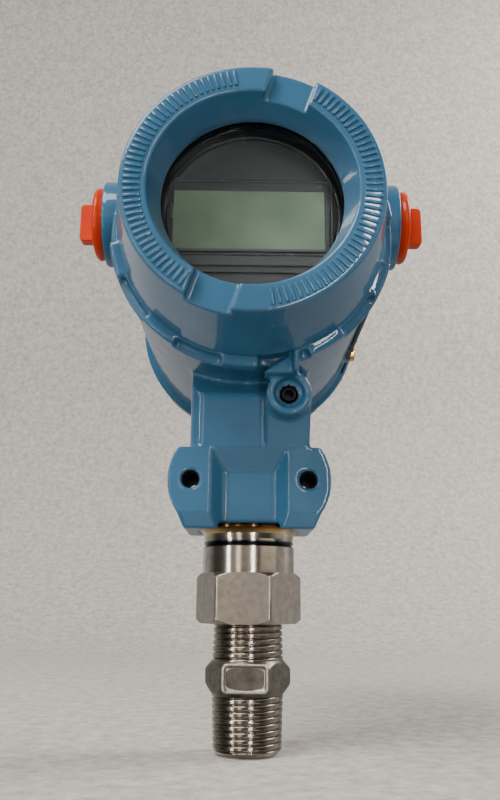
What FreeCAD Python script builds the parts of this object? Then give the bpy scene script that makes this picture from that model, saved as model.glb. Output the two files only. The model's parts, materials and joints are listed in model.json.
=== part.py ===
import FreeCAD, Part
import math
import os
import re
import Sketcher
from FreeCAD import Placement, Rotation, Vector

# In-line pressure transmitter. Origin: centre of the process nipple's lower end.
# +Z runs up the process axis, the display looks along -Y, the conduit entries lie along X.
# Lengths are in millimetres and angles in degrees.

doc = FreeCAD.newDocument("pressure_transmitter")
sheet = doc.addObject("Spreadsheet::Sheet", "dims")

driving = {
    # housing head, a turned form about the display axis
    "head_height": 150.3, "front_face": 34.6, "rear_face": 60.0,
    "body_radius": 40.0, "flange_rise": 2.5, "flange_length": 5.0, "body_wall": 5.0,
    "mouth_wall": 3.5, "mouth_depth": 12.5, "partition_front": 15.0, "partition_wall": 4.0,
    "notch_count": 10, "notch_span": 20.0, "notch_turn": 14.0, "notch_land": 2.6,
    "notch_depth": 3.4,
    # conduit entries
    "conduit_rise": 18.1, "boss_radius": 14.4, "boss_span": 98.8, "entry_wall": 4.5,
    # neck and bracket block
    "neck_wide": 36.6, "neck_front": 16.0, "shoulder_drop": 45.7, "shoulder_run": 7.0,
    "neck_corner": 5.0, "bracket_height": 78.2, "bracket_half": 9.9, "foot_tall": 4.6,
    "ear_reach": 24.6, "ear_radius": 17.1, "ear_front": 16.2, "foot_draft": 23.5,
    "bolt_spacing": 35.3, "bolt_radius": 2.55, "bolt_sink": 3.2,
    "pad_wide": 15.8, "pad_mouth": 23.4, "pad_depth": 4.6, "pad_above": 3.1,
    # cover lock bosses
    "lock_across": 11.4, "lock_drop": 48.1, "lock_boss_radius": 6.7,
    "lock_front": 27.5, "lock_rear": 53.0, "lock_sink_radius": 4.4, "lock_sink": 2.6,
    "lock_thread_radius": 2.5, "lock_thread_depth": 18.0, "lock_screw_length": 14.0,
    "rib_wide": 13.4, "lug_notch_start": 3.0, "lug_notch_stop": 18.0, "lug_wall": 1.8,
    # passage up the neck
    "stem_radius": 9.4, "stem_tall": 28.3, "passage_radius": 8.0, "passage_drop": 9.3,
    "well_wide": 30.0, "well_rear": 15.5, "well_rise": 1.7,
    "window_wide": 16.0, "window_drop": 28.3, "window_tall": 16.0,
    # covers
    "cover_step": 2.9, "cover_face_radius": 35.8, "display_cover_length": 27.4,
    "ring_inner_radius": 28.7, "window_radius": 25.5, "window_depth": 9.7, "window_lip": 2.0,
    "cover_edge": 1.2, "skirt_wall": 3.0, "skirt_length": 9.6,
    "slot_wide": 12.5, "slot_depth": 3.8, "slot_turn": 19.0,
    "blind_cover_length": 11.0, "blind_face_radius": 38.2, "blind_wall": 4.0,
    "blind_dish": 2.0, "ring_section": 1.9, "ring_groove_wide": 2.2, "ring_groove_deep": 2.1,
    # display window
    "glass_radius": 31.0, "glass_thick": 6.0, "gasket_thick": 0.5, "gasket_bore": 26.5,
    "glass_ring_thick": 2.2, "glass_ring_bore": 27.6,
    # display meter
    "meter_radius": 32.6, "meter_face_radius": 29.4, "meter_back": 15.3, "meter_front": 24.7,
    "plate_radius": 28.4, "plate_thick": 0.8, "frame_wide": 45.8, "frame_tall": 29.5,
    "frame_rise": 0.7, "frame_corner": 3.0, "frame_down": 2.8, "lcd_wide": 43.4, "lcd_tall": 18.1,
    "lcd_thick": 2.6, "lcd_sink": 0.2, "lcd_left": 0.9, "lcd_down": 1.3,
    "meter_wall": 2.0, "meter_board_radius": 28.0, "board_thick": 1.6, "meter_board_back": 18.5,
    # electronics in the front chamber
    "tray_radius": 32.8, "tray_wall": 1.6, "tray_deep": 15.2, "board_radius": 30.8,
    "board_back": 8.0, "fixing_across": 26.0, "fixing_radius": 1.5, "fixing_head": 3.0,
    "fixing_depth": 3.2,
    # terminals in the rear chamber
    "block_margin": 6.0, "block_tall": 30.0, "block_thick": 13.0, "block_corner": 6.0,
    "block_ear": 4.0, "post_drop": 4.0, "post_radius": 4.2, "post_end": 17.0,
    "terminal_step": 15.0, "terminal_well_wide": 11.0, "terminal_well_deep": 5.0,
    "terminal_radius": 1.95, "terminal_head_radius": 3.6, "terminal_head": 2.6,
    "terminal_shank": 7.0, "clamp_wide": 9.0, "clamp_thick": 1.0,
    "earth_across": 20.0, "earth_drop": 23.6,
    # conduit plugs
    "plug_stem": 10.0, "plug_wall": 1.8, "plug_radius": 12.4, "plug_thick": 3.4,
    "plug_dome": 1.2, "tab_tall": 13.7, "tab_thick": 4.2, "tab_reach": 4.6,
    # nameplate and external earth screw, on the +X side
    "plate_start": 62.8, "plate_margin": 0.9, "plate_front": 27.0, "plate_rear": 52.0,
    "name_thick": 0.9, "pin_radius": 1.1, "pin_head_radius": 2.1, "pin_front": 22.0,
    "pin_rear": 47.0, "pin_turn": 82.0, "name_stand": 0.85,
    "earth_turn": 66.0, "earth_y": 36.0, "earth_boss_radius": 3.2,
    "earth_boss_rise": 1.2, "earth_screw_radius": 1.45, "earth_head_radius": 2.6,
    "earth_head": 1.8,
    # sensor neck, collar, hexagons
    "weld_low": 59.5, "weld_high": 65.4, "weld_low_radius": 13.9, "weld_high_radius": 15.5,
    "cell_wall": 2.0, "cell_floor": 62.0, "cell_gap": 0.8, "cell_high": 12.0,
    "collar_low": 51.2, "collar_radius": 14.1, "collar_chamfer": 0.7,
    "hex_low": 36.4, "hex_flats": 28.2, "hex_corner": 16.15, "hex_turn": 6.0,
    "socket_radius": 10.5, "socket_deep": 10.6, "port_radius": 8.2, "seat_deep": 14.4,
    "diaphragm_thick": 0.3,
    "nut_low": 17.2, "nut_high": 25.4, "nut_flats": 23.0, "nut_corner": 13.05,
    "nipple_bore": 6.4, "thread_pitch": 1.814, "pipe_radius": 10.14, "pipe_taper": 0.03125,
    "pipe_thread_deep": 1.15, "pipe_lead": 1.0, "relief": 1.2, "nipple_top": 45.4,
    # named clearances
    "run_gap": 0.05, "seat_gap": 0.03, "loose_gap": 0.3,
}
for row, (word, value) in enumerate(driving.items(), 1):
    sheet.set(f"A{row}", word)
    sheet.set(f"B{row}", str(value))
    sheet.setAlias(f"B{row}", word)
doc.recompute()

# Places worked out from the driving dimensions, as expressions.
places = {
    "flange_radius": "body_radius + flange_rise",
    "chamber_radius": "body_radius - body_wall",
    "thread_radius": "body_radius - mouth_wall",
    "notch_floor": "flange_radius - notch_land",
    "cover_base_radius": "flange_radius - cover_step",
    "skirt_radius": "thread_radius - skirt_wall",
    "skirt_thread": "thread_radius - run_gap",
    "ring_groove_floor": "thread_radius - ring_groove_deep",
    "groove_near": "0.9",
    "groove_far": "groove_near + ring_groove_wide",
    "ring_middle": "ring_groove_floor + run_gap + ring_section / 2",
    "partition_rear": "partition_front - partition_wall",
    "conduit_height": "head_height + conduit_rise",
    "entry_radius": "boss_radius - entry_wall",
    "plug_face": "boss_span / 2",
    "neck_shoulder": "head_height - shoulder_drop",
    "bracket_top": "bracket_height + bracket_half",
    "bracket_low": "bracket_height - bracket_half",
    "bracket_foot": "bracket_low - foot_tall",
    "pad_top": "bracket_height + pad_above",
    "bolt_half": "bolt_spacing / 2",
    "lock_height": "head_height - lock_drop",
    "stem_top": "bracket_foot + stem_tall",
    "passage_top": "head_height - passage_drop",
    "well_top": "head_height + well_rise",
    "window_low": "head_height - window_drop",
    "window_high": "window_low + window_tall",
    "lip_back": "display_cover_length - window_depth - window_lip",
    "glass_front": "lip_back - gasket_thick",
    "glass_back": "glass_front - glass_thick",
    "glass_ring_back": "glass_back - glass_ring_thick",
    "block_wide": "2 * (chamber_radius - block_margin)",
    "post_across": "block_wide / 2 - block_ear",
    "post_height": "head_height - post_drop",
    "block_back": "post_end + seat_gap",
    "block_face": "block_back + block_thick",
    "plate_back": "meter_front + seat_gap",
    "plate_face": "plate_back + plate_thick",
    "plate_stop": "90 + asin((conduit_rise - boss_radius - plate_margin) / body_radius) / 1 deg",
    "earth_height": "head_height - body_radius * cos(earth_turn)",
    "earth_boss_reach": "body_radius * sin(earth_turn) + earth_boss_rise",
    "cell_bore": "stem_radius - cell_wall",
    "cell_radius": "cell_bore - cell_gap",
}


def spell(text):
    """Write a size as an expression on the sheet."""
    def word(match):
        name = match.group(0)
        if name in places:
            return "(" + spell(places[name]) + ")"
        return "dims." + name if name in driving else name
    return re.sub(r"[a-z][a-z_]*", word, str(text))


def number(text):
    return float(sheet.evalExpression(spell(text)))


def origin_plane(body, role):
    return [item for item in body.Origin.OriginFeatures if item.Role == role][0]


def sketch_on(body, name, role, across="0", up="0", off="0"):
    """An empty sketch on an origin plane, its own origin shifted by named sizes."""
    sketch = body.newObject("Sketcher::SketchObject", name)
    sketch.AttachmentSupport = [(origin_plane(body, role), "")]
    sketch.MapMode = "FlatFace"
    for axis, text in (("x", across), ("y", up), ("z", off)):
        if text != "0":
            sketch.setExpression(f"AttachmentOffset.Base.{axis}", spell(text))
    return sketch


def radial_sketch(body, name, radius):
    """An empty sketch that faces out of the head at the nameplate pins, X rearward."""
    sketch = sketch_on(body, name, "YZ_Plane", up=f"head_height - ({radius}) * cos(pin_turn)",
                       off=f"({radius}) * sin(pin_turn)")
    sketch.AttachmentOffset = Placement(sketch.AttachmentOffset.Base,
                                        Rotation(Vector(1, 0, 0), number("90 - pin_turn")))
    sketch.setExpression("AttachmentOffset.Rotation.Angle", spell("90 - pin_turn"))
    return sketch


def arc_between(start, end, radius):
    """The arc from start to end; a negative radius curves the other way."""
    chord = end - start
    side = 1 if radius > 0 else -1
    rise = math.sqrt(max(radius * radius - chord.Length ** 2 / 4, 0))
    middle = (start + end) * 0.5
    centre = middle + Vector(-chord.y, chord.x, 0).normalize() * rise * side
    first, last = (start, end) if side > 0 else (end, start)
    turn = [math.atan2(spot.y - centre.y, spot.x - centre.x) for spot in (first, last)]
    return Part.ArcOfCircle(Part.Circle(centre, Vector(0, 0, 1), abs(radius)), *turn)


def draw(sketch, corners):
    """A closed outline. A corner is (across, up) or, where an arc leaves it, (across, up, radius)."""
    spots = [Vector(number(corner[0]), number(corner[1]), 0) for corner in corners]
    first = sketch.GeometryCount
    ends = []
    for spot, onward, corner in zip(spots, spots[1:] + spots[:1], corners):
        if len(corner) == 3:
            radius = number(corner[2])
            line = sketch.addGeometry(arc_between(spot, onward, radius))
            bend = sketch.addConstraint(Sketcher.Constraint("Radius", line, abs(radius)))
            sketch.setExpression(f"Constraints[{bend}]", spell(corner[2].lstrip("-")))
            ends.append((line, 1, 2) if radius > 0 else (line, 2, 1))
        else:
            ends.append((sketch.addGeometry(Part.LineSegment(spot, onward)), 1, 2))
    for (line, _, last), (onward, start, _) in zip(ends, ends[1:] + ends[:1]):
        sketch.addConstraint(Sketcher.Constraint("Coincident", line, last, onward, start))
    for (line, start, _), spot, corner in zip(ends, spots, corners):
        for kind, text, value in (("DistanceX", corner[0], spot.x), ("DistanceY", corner[1], spot.y)):
            tie = sketch.addConstraint(Sketcher.Constraint(kind, -1, 1, line, start, value))
            sketch.setExpression(f"Constraints[{tie}]", spell(text))
    return first


def rings(sketch, spots, radius):
    """Equal circles at the named spots."""
    for across, up in spots:
        centre = Vector(number(across), number(up), 0)
        ring = sketch.addGeometry(Part.Circle(centre, Vector(0, 0, 1), number(radius)))
        for kind, text, value in (("DistanceX", across, centre.x), ("DistanceY", up, centre.y)):
            tie = sketch.addConstraint(Sketcher.Constraint(kind, -1, 1, ring, 3, value))
            sketch.setExpression(f"Constraints[{tie}]", spell(text))
        bend = sketch.addConstraint(Sketcher.Constraint("Radius", ring, number(radius)))
        sketch.setExpression(f"Constraints[{bend}]", spell(radius))


def box_corners(left, right, low, high):
    return [(left, low), (right, low), (right, high), (left, high)]


def round_corners(wide, tall, radius, across="0", up="0"):
    """A rectangle with rounded corners about a middle point."""
    left, right = f"{across} - {wide} / 2", f"{across} + {wide} / 2"
    low, high = f"{up} - {tall} / 2", f"{up} + {tall} / 2"
    return [
        (f"{left} + {radius}", low), (f"{right} - {radius}", low, radius),
        (right, f"{low} + {radius}"), (right, f"{high} - {radius}", radius),
        (f"{right} - {radius}", high), (f"{left} + {radius}", high, radius),
        (left, f"{high} - {radius}"), (left, f"{low} + {radius}", radius),
    ]


def feature(body, kind, name, sketch, length=None, both=False, back=False, draft=None, **more):
    """A sketch-based feature; its length is bound to the sheet."""
    made = body.newObject("PartDesign::" + kind, name)
    made.Profile = sketch
    if length is not None:
        made.setExpression("Length", spell(length))
    if both:
        made.Midplane = True
    made.Reversed = back
    if draft is not None:
        made.setExpression("TaperAngle", spell(draft))
    for key, value in more.items():
        setattr(made, key, value)
    body.Tip = made
    return made


def spun(body, name, corners, kind="Revolution", role="XZ_Plane", axis="V_Axis", **shift):
    """A turned form or a turned cut about one axis of its sketch."""
    sketch = sketch_on(body, name + "_outline", role, **shift)
    draw(sketch, corners)
    made = body.newObject("PartDesign::" + kind, name)
    made.Profile = sketch
    made.ReferenceAxis = (sketch, [axis])
    made.Angle = 360
    body.Tip = made
    return made


def repeat(body, name, original, sketch, count):
    made = body.newObject("PartDesign::PolarPattern", name)
    made.Originals = [original]
    made.Axis = (sketch, ["N_Axis"])
    made.Angle = 360
    made.setExpression("Occurrences", spell(count))
    body.Tip = made
    return made


def soften(body, name, size, wanted, kind="Fillet"):
    """Round or chamfer the edges of the body so far that the test picks."""
    doc.recompute()
    tip = body.Tip
    edges = [f"Edge{n}" for n, edge in enumerate(tip.Shape.Edges, 1) if wanted(edge)]
    if not edges:
        raise RuntimeError(f"{body.Name}: no edge for {name}")
    made = body.newObject("PartDesign::" + kind, name)
    made.Base = (tip, edges)
    made.setExpression("Radius" if kind == "Fillet" else "Size", spell(size))
    body.Tip = made
    return made


def circle_at(radius, height):
    """Test for a full circle of this radius about the local Z axis at this height."""
    def wanted(edge):
        curve = edge.Curve
        return (isinstance(curve, Part.Circle) and abs(curve.Radius - number(radius)) < 0.02
                and abs(curve.Center.z - number(height)) < 0.02
                and math.hypot(curve.Center.x, curve.Center.y) < 0.02)
    return wanted


front = Rotation(Vector(1, 0, 0), 90)
facing = {
    "up": Rotation(), "down": Rotation(Vector(1, 0, 0), 180), "front": front,
    "rear": Rotation(Vector(0, 0, 1), 180) * front,
    "right": Rotation(Vector(0, 1, 0), 90), "left": Rotation(Vector(0, 1, 0), -90),
    "plate": Rotation(Vector(0, 1, 0), number("180 - pin_turn")),
}
nodes = []


def settle(piece, label, spot=("0", "0", "0"), way="up"):
    """Name a finished sub-part, put it at its place and list it for export."""
    piece.Label = label
    piece.Placement = Placement(Vector(*[number(text) for text in spot]), facing[way])
    for axis, text in zip("xyz", spot):
        if text != "0":
            piece.setExpression(f"Placement.Base.{axis}", spell(text))
    nodes.append(piece)
    return piece


def new_body(name):
    return doc.addObject("PartDesign::Body", name)


# ---- housing: one casting ----
def make_housing():
    body = new_body("housing_body")
    spun(body, "head", [
        ("-front_face", "0"), ("rear_face", "0"), ("rear_face", "flange_radius"),
        ("rear_face - flange_length", "flange_radius"),
        ("rear_face - flange_length - 1.5", "body_radius"),
        ("flange_length + 1.5 - front_face", "body_radius + 0.8"),
        ("flange_length - front_face", "flange_radius"), ("-front_face", "flange_radius"),
    ], role="YZ_Plane", axis="H_Axis", up="head_height")

    neck = sketch_on(body, "neck_side", "YZ_Plane")
    draw(neck, [
        ("-neck_front", "bracket_low"), ("neck_front", "bracket_low"),
        ("neck_front", "neck_shoulder"), ("neck_front - shoulder_run", "neck_shoulder + shoulder_run"),
        ("neck_front - shoulder_run", "head_height - chamber_radius"),
        ("shoulder_run - neck_front", "head_height - chamber_radius"),
        ("shoulder_run - neck_front", "neck_shoulder + shoulder_run"), ("-neck_front", "neck_shoulder"),
    ])
    feature(body, "Pad", "neck", neck, "neck_wide", both=True)

    def upright(edge):
        spots = [vertex.Point for vertex in edge.Vertexes]
        return (len(spots) == 2 and abs(spots[0].x - spots[1].x) < 0.01
                and abs(spots[0].y - spots[1].y) < 0.01 and abs(spots[0].z - spots[1].z) > 20
                and abs(abs(spots[0].x) - number("neck_wide / 2")) < 0.01)
    soften(body, "neck_corners", "neck_corner", upright)

    ears = sketch_on(body, "ears_outline", "XZ_Plane")
    side = "(ear_radius - sqrt(ear_radius^2 - (bracket_top - bracket_height)^2))"
    foot = "(ear_radius - sqrt(ear_radius^2 - (bracket_low - bracket_height)^2))"
    draw(ears, [
        (f"{foot} - ear_reach", "bracket_low"),
        (f"ear_reach - {foot}", "bracket_low", "ear_radius"),
        (f"ear_reach - {side}", "bracket_top"),
        (f"{side} - ear_reach", "bracket_top", "ear_radius"),
    ])
    feature(body, "Pad", "ears", ears, "2 * ear_front", both=True)
    foot_outline = sketch_on(body, "foot_outline", "XY_Plane", off="bracket_low")
    draw(foot_outline, box_corners(f"{foot} - ear_reach", f"ear_reach - {foot}", "-ear_front", "ear_front"))
    feature(body, "Pad", "foot", foot_outline, "bracket_low - bracket_foot", back=True,
            draft="-foot_draft")

    bosses = sketch_on(body, "entry_bosses_outline", "YZ_Plane", up="conduit_height")
    rings(bosses, [("0", "0")], "boss_radius")
    feature(body, "Pad", "entry_bosses", bosses, "boss_span", both=True)

    lock = sketch_on(body, "front_lock_boss_outline", "XZ_Plane", off="lock_front")
    rings(lock, [("lock_across", "lock_height")], "lock_boss_radius")
    feature(body, "Pad", "front_lock_boss", lock, "lock_front", back=True)
    lock = sketch_on(body, "rear_lock_boss_outline", "XZ_Plane", off="-lock_rear")
    rings(lock, [("lock_across", "lock_height")], "lock_boss_radius")
    feature(body, "Pad", "rear_lock_boss", lock, "lock_rear")

    # the web that carries the front lock boss down to the right ear
    web = sketch_on(body, "web_side", "YZ_Plane", off="lock_across")
    draw(web, [
        ("2 - lock_front", "lock_height"), ("-ear_front", "bracket_top"), ("0", "bracket_top"),
        ("0", "lock_height"),
    ])
    feature(body, "Pad", "web", web, "rib_wide", both=True)
    earth = sketch_on(body, "earth_boss_outline", "YZ_Plane", off="body_radius - 8")
    rings(earth, [("earth_y", "earth_height")], "earth_boss_radius")
    feature(body, "Pad", "earth_boss", earth, "earth_boss_reach - body_radius + 8")

    # chambers, closed from each other by the partition
    spun(body, "front_chamber", [
        ("-front_face - 1", "0"), ("-partition_front", "0"), ("-partition_front", "chamber_radius"),
        ("mouth_depth - front_face", "chamber_radius"), ("mouth_depth - front_face", "thread_radius"),
        ("-front_face - 1", "thread_radius"),
    ], "Groove", "YZ_Plane", "H_Axis", up="head_height")
    spun(body, "rear_chamber", [
        ("-partition_rear", "0"), ("rear_face + 1", "0"), ("rear_face + 1", "thread_radius"),
        ("rear_face - mouth_depth", "thread_radius"), ("rear_face - mouth_depth", "chamber_radius"),
        ("-partition_rear", "chamber_radius"),
    ], "Groove", "YZ_Plane", "H_Axis", up="head_height")

    # the well keeps the cable passage out of the rear chamber
    well = sketch_on(body, "well_outline", "XY_Plane", off="head_height - chamber_radius - 2")
    draw(well, box_corners("-well_wide / 2", "well_wide / 2", "-partition_rear - 1", "well_rear"))
    feature(body, "Pad", "well", well, "well_top - head_height + chamber_radius + 2")
    posts = sketch_on(body, "posts_outline", "XZ_Plane", off="partition_rear + 1")
    rings(posts, [("-post_across", "post_height"), ("post_across", "post_height")], "post_radius")
    feature(body, "Pad", "posts", posts, "partition_rear + 1 + post_end", back=True)
    post = sketch_on(body, "earth_post_outline", "XZ_Plane", off="partition_rear + 1")
    rings(post, [("-earth_across", "head_height - earth_drop")], "post_radius")
    feature(body, "Pad", "earth_post", post, "partition_rear + 1 + post_end", back=True)

    passage = sketch_on(body, "passage_outline", "XY_Plane", off="bracket_foot - 1")
    rings(passage, [("0", "0")], "passage_radius")
    feature(body, "Pocket", "passage", passage, "passage_top - bracket_foot + 1", back=True)
    stem = sketch_on(body, "stem_hole_outline", "XY_Plane", off="bracket_foot - 1")
    rings(stem, [("0", "0")], "stem_radius + run_gap")
    feature(body, "Pocket", "stem_hole", stem, "stem_top + 2 - bracket_foot", back=True)
    rim = sketch_on(body, "weld_rim_outline", "XY_Plane", off="bracket_foot - 1")
    rings(rim, [("0", "0")], "weld_high_radius + run_gap")
    feature(body, "Pocket", "weld_rim", rim, "weld_high + seat_gap - bracket_foot + 1", back=True)
    window = sketch_on(body, "cable_window_outline", "XZ_Plane", off="partition_front + 1")
    draw(window, box_corners("-window_wide / 2", "window_wide / 2", "window_low", "window_high"))
    feature(body, "Pocket", "cable_window", window, "partition_front + 1")

    entries = sketch_on(body, "entries_outline", "YZ_Plane", up="conduit_height")
    rings(entries, [("0", "0")], "entry_radius")
    feature(body, "Pocket", "entries", entries, "boss_span + 2", both=True)

    # bracket: two tapped holes right through, and the recess between the ears
    holes = sketch_on(body, "bolt_outline", "XZ_Plane")
    rings(holes, [("-bolt_half", "bracket_height"), ("bolt_half", "bracket_height")], "bolt_radius")
    feature(body, "Pocket", "bolt_holes", holes, "2 * ear_front + 1", both=True)
    for name, off, way in (("front", "ear_front", False), ("rear", "-ear_front", True)):
        sinks = sketch_on(body, f"{name}_sink_outline", "XZ_Plane", off=off)
        rings(sinks, [("-bolt_half", "bracket_height"), ("bolt_half", "bracket_height")], "bolt_sink")
        feature(body, "Pocket", f"{name}_sinks", sinks, "bolt_sink - bolt_radius", back=way,
                draft="-45")
    mouth = sketch_on(body, "recess_mouth", "XZ_Plane", off="ear_front + 0.1")
    draw(mouth, box_corners("-pad_mouth / 2", "pad_mouth / 2", "bracket_foot - 3", "bracket_top"))
    floor = sketch_on(body, "recess_floor", "XZ_Plane", off="ear_front - pad_depth")
    draw(floor, box_corners("-pad_wide / 2", "pad_wide / 2", "bracket_foot - 2", "pad_top"))
    recess = body.newObject("PartDesign::SubtractiveLoft", "recess")
    recess.Profile = mouth
    recess.Sections = [floor]
    recess.Ruled = True
    body.Tip = recess

    # cover lock screws
    for name, off, way in (("front", "lock_front", False), ("rear", "-lock_rear", True)):
        for part, radius, deep in (("sink", "lock_sink_radius", "lock_sink"),
                                   ("thread", "lock_thread_radius", "lock_thread_depth")):
            hole = sketch_on(body, f"{name}_lock_{part}_outline", "XZ_Plane", off=off)
            rings(hole, [("lock_across", "lock_height")], radius)
            feature(body, "Pocket", f"{name}_lock_{part}", hole, deep, back=way)

    # blind fixing holes
    for name, spots, radius, off, deep, way in (
            ("tray", [("-fixing_across", "head_height"), ("fixing_across", "head_height")],
             "fixing_radius + seat_gap", "partition_front", "fixing_depth", False),
            ("block", [("-post_across", "post_height"), ("post_across", "post_height"),
                       ("-earth_across", "head_height - earth_drop")],
             "terminal_radius + run_gap", "-post_end", "terminal_shank + 1", True)):
        hole = sketch_on(body, f"{name}_holes_outline", "XZ_Plane", off=off)
        rings(hole, spots, radius)
        feature(body, "Pocket", f"{name}_holes", hole, deep, back=way)
    earth = sketch_on(body, "earth_hole_outline", "YZ_Plane", off="earth_boss_reach")
    rings(earth, [("earth_y", "earth_height")], "earth_screw_radius + run_gap")
    feature(body, "Pocket", "earth_hole", earth, "5.2")
    pins = radial_sketch(body, "pin_holes_outline", "body_radius + 2")
    rings(pins, [("-pin_front", "0"), ("pin_rear", "0")], "pin_radius + seat_gap")
    feature(body, "Pocket", "pin_holes", pins, "5")

    # castellation: notches open at the rim of both flanges
    sector = [
        ("notch_floor * sin(notch_span / 2)", "-notch_floor * cos(notch_span / 2)"),
        ("(flange_radius + 2) * sin(notch_span / 2)", "-(flange_radius + 2) * cos(notch_span / 2)"),
        ("-(flange_radius + 2) * sin(notch_span / 2)", "-(flange_radius + 2) * cos(notch_span / 2)"),
        ("-notch_floor * sin(notch_span / 2)", "-notch_floor * cos(notch_span / 2)", "notch_floor"),
    ]
    for name, off, way in (("front", "front_face", False), ("rear", "-rear_face", True)):
        notch = sketch_on(body, f"{name}_notch_outline", "XZ_Plane", up="head_height", off=off)
        notch.setExpression("AttachmentOffset.Rotation.Angle", spell("notch_turn"))
        draw(notch, sector)
        cut = feature(body, "Pocket", f"{name}_notch", notch, "notch_depth", back=way)
        repeat(body, f"{name}_notches", cut, notch, "notch_count")

    # a deeper notch bares the front lock boss; a ramp and a ridge tie the boss to the flange
    inner, outer = "(thread_radius + lug_wall)", "(flange_radius + 2)"
    deep = sketch_on(body, "lock_notch_outline", "XZ_Plane", up="head_height", off="front_face")
    draw(deep, [
        (f"{inner} * sin(lug_notch_start)", f"-{inner} * cos(lug_notch_start)"),
        (f"{outer} * sin(lug_notch_start)", f"-{outer} * cos(lug_notch_start)"),
        (f"{outer} * sin(lug_notch_stop)", f"-{outer} * cos(lug_notch_stop)"),
        (f"{inner} * sin(lug_notch_stop)", f"-{inner} * cos(lug_notch_stop)", f"-{inner}"),
    ])
    feature(body, "Pocket", "lock_notch", deep, "flange_length + 1.5")
    ramp = sketch_on(body, "ramp_outline", "XZ_Plane", off="front_face - notch_depth")
    above_sink = "lock_height + lock_sink_radius + 0.3"
    draw(ramp, [
        ("lock_across - 8.4", above_sink), ("lock_across + 2.4", above_sink),
        ("lock_across + 2.4", "lock_height + 10.6"), ("lock_across + 0.3", "lock_height + 10.6"),
    ])
    feature(body, "Pad", "ramp", ramp, "front_face - notch_depth - lock_front + 4", back=True)
    ridge = sketch_on(body, "ridge_side", "YZ_Plane", off="lock_across + 1.6")
    draw(ridge, box_corners("-front_face", "4 - lock_front", above_sink, "lock_height + 11"))
    feature(body, "Pad", "ridge", ridge, "1.6", both=True)
    return settle(body, "housing")


# ---- covers, in a frame with Z out of the flange face ----
def thread_skirt():
    """The part of a cover that enters the housing, from its tip back to the seat."""
    return [
        ("skirt_radius", "-skirt_length"), ("skirt_thread - 0.8", "-skirt_length"),
        ("skirt_thread", "0.8 - skirt_length"), ("skirt_thread", "-groove_far"),
        ("ring_groove_floor", "-groove_far"), ("ring_groove_floor", "-groove_near"),
        ("skirt_thread", "-groove_near"), ("skirt_thread", "seat_gap"),
        ("cover_base_radius", "seat_gap"),
    ]


def wrench_slots(body, face):
    """Two slots straight across the face ring, opposite each other."""
    slot = sketch_on(body, "slot_outline", "XY_Plane", off=face)
    slot.setExpression("AttachmentOffset.Rotation.Angle", spell("-slot_turn"))
    draw(slot, box_corners("-slot_wide / 2", "slot_wide / 2", "window_radius - 1", "cover_base_radius + 3"))
    cut = feature(body, "Pocket", "slot", slot, "slot_depth")
    repeat(body, "slots", cut, slot, "2")


def make_front_cover():
    body = new_body("front_cover_body")
    spun(body, "casting", thread_skirt() + [
        ("cover_face_radius", "display_cover_length"), ("ring_inner_radius", "display_cover_length"),
        ("window_radius", "display_cover_length - window_depth"), ("window_radius", "lip_back"),
        ("glass_radius + run_gap", "lip_back"), ("glass_radius + run_gap", "4"),
        ("skirt_radius", "2"),
    ])
    soften(body, "face_edge", "cover_edge", circle_at("cover_face_radius", "display_cover_length"))
    soften(body, "ring_edge", "0.8", circle_at("ring_inner_radius", "display_cover_length"))
    slot = "display_cover_length"
    wrench_slots(body, slot)
    return settle(body, "front_cover", ("0", "-front_face", "head_height"), "front")


def make_rear_cover():
    body = new_body("rear_cover_body")
    spun(body, "casting", thread_skirt() + [
        ("blind_face_radius", "blind_cover_length"),
        ("ring_inner_radius", "blind_cover_length"),
        ("ring_inner_radius - 3", "blind_cover_length - blind_dish"),
        ("0", "blind_cover_length - blind_dish"),
        ("0", "blind_cover_length - blind_dish - blind_wall"),
        ("skirt_radius - 4", "blind_cover_length - blind_dish - blind_wall"),
        ("skirt_radius", "1"),
    ])
    soften(body, "face_edge", "cover_edge", circle_at("blind_face_radius", "blind_cover_length"))
    wrench_slots(body, "blind_cover_length")
    return settle(body, "rear_cover", ("0", "rear_face", "head_height"), "rear")


def make_oring(label, spot, way, middle="ring_middle", section="ring_section / 2"):
    ring = doc.addObject("Part::Torus", label + "_ring")
    ring.setExpression("Radius1", spell(middle))
    ring.setExpression("Radius2", spell(section))
    return settle(ring, label, spot, way)


def turned(label, corners, spot=("0", "0", "0"), way="up"):
    """A part that is one turned form about its local Z axis."""
    body = new_body(label + "_body")
    spun(body, "turning", corners)
    return settle(body, label, spot, way)


def make_window():
    at = ("0", "-front_face", "head_height")
    turned("window_glass", [
        ("0", "glass_back"), ("glass_radius - 0.6", "glass_back"), ("glass_radius", "glass_back + 0.6"),
        ("glass_radius", "glass_front - 0.6"), ("glass_radius - 0.6", "glass_front"), ("0", "glass_front"),
    ], at, "front")
    turned("window_gasket", box_corners("gasket_bore", "glass_radius", "glass_front", "lip_back"), at, "front")
    turned("window_ring", [
        ("glass_ring_bore + 1", "glass_ring_back"), ("glass_radius", "glass_ring_back"),
        ("glass_radius", "glass_back"), ("glass_ring_bore", "glass_back"),
        ("glass_ring_bore", "glass_ring_back + 1"),
    ], at, "front")


# ---- display meter, in a frame with Z forward from the partition ----
meter_spot = ("0", "-partition_front", "head_height")


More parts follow.
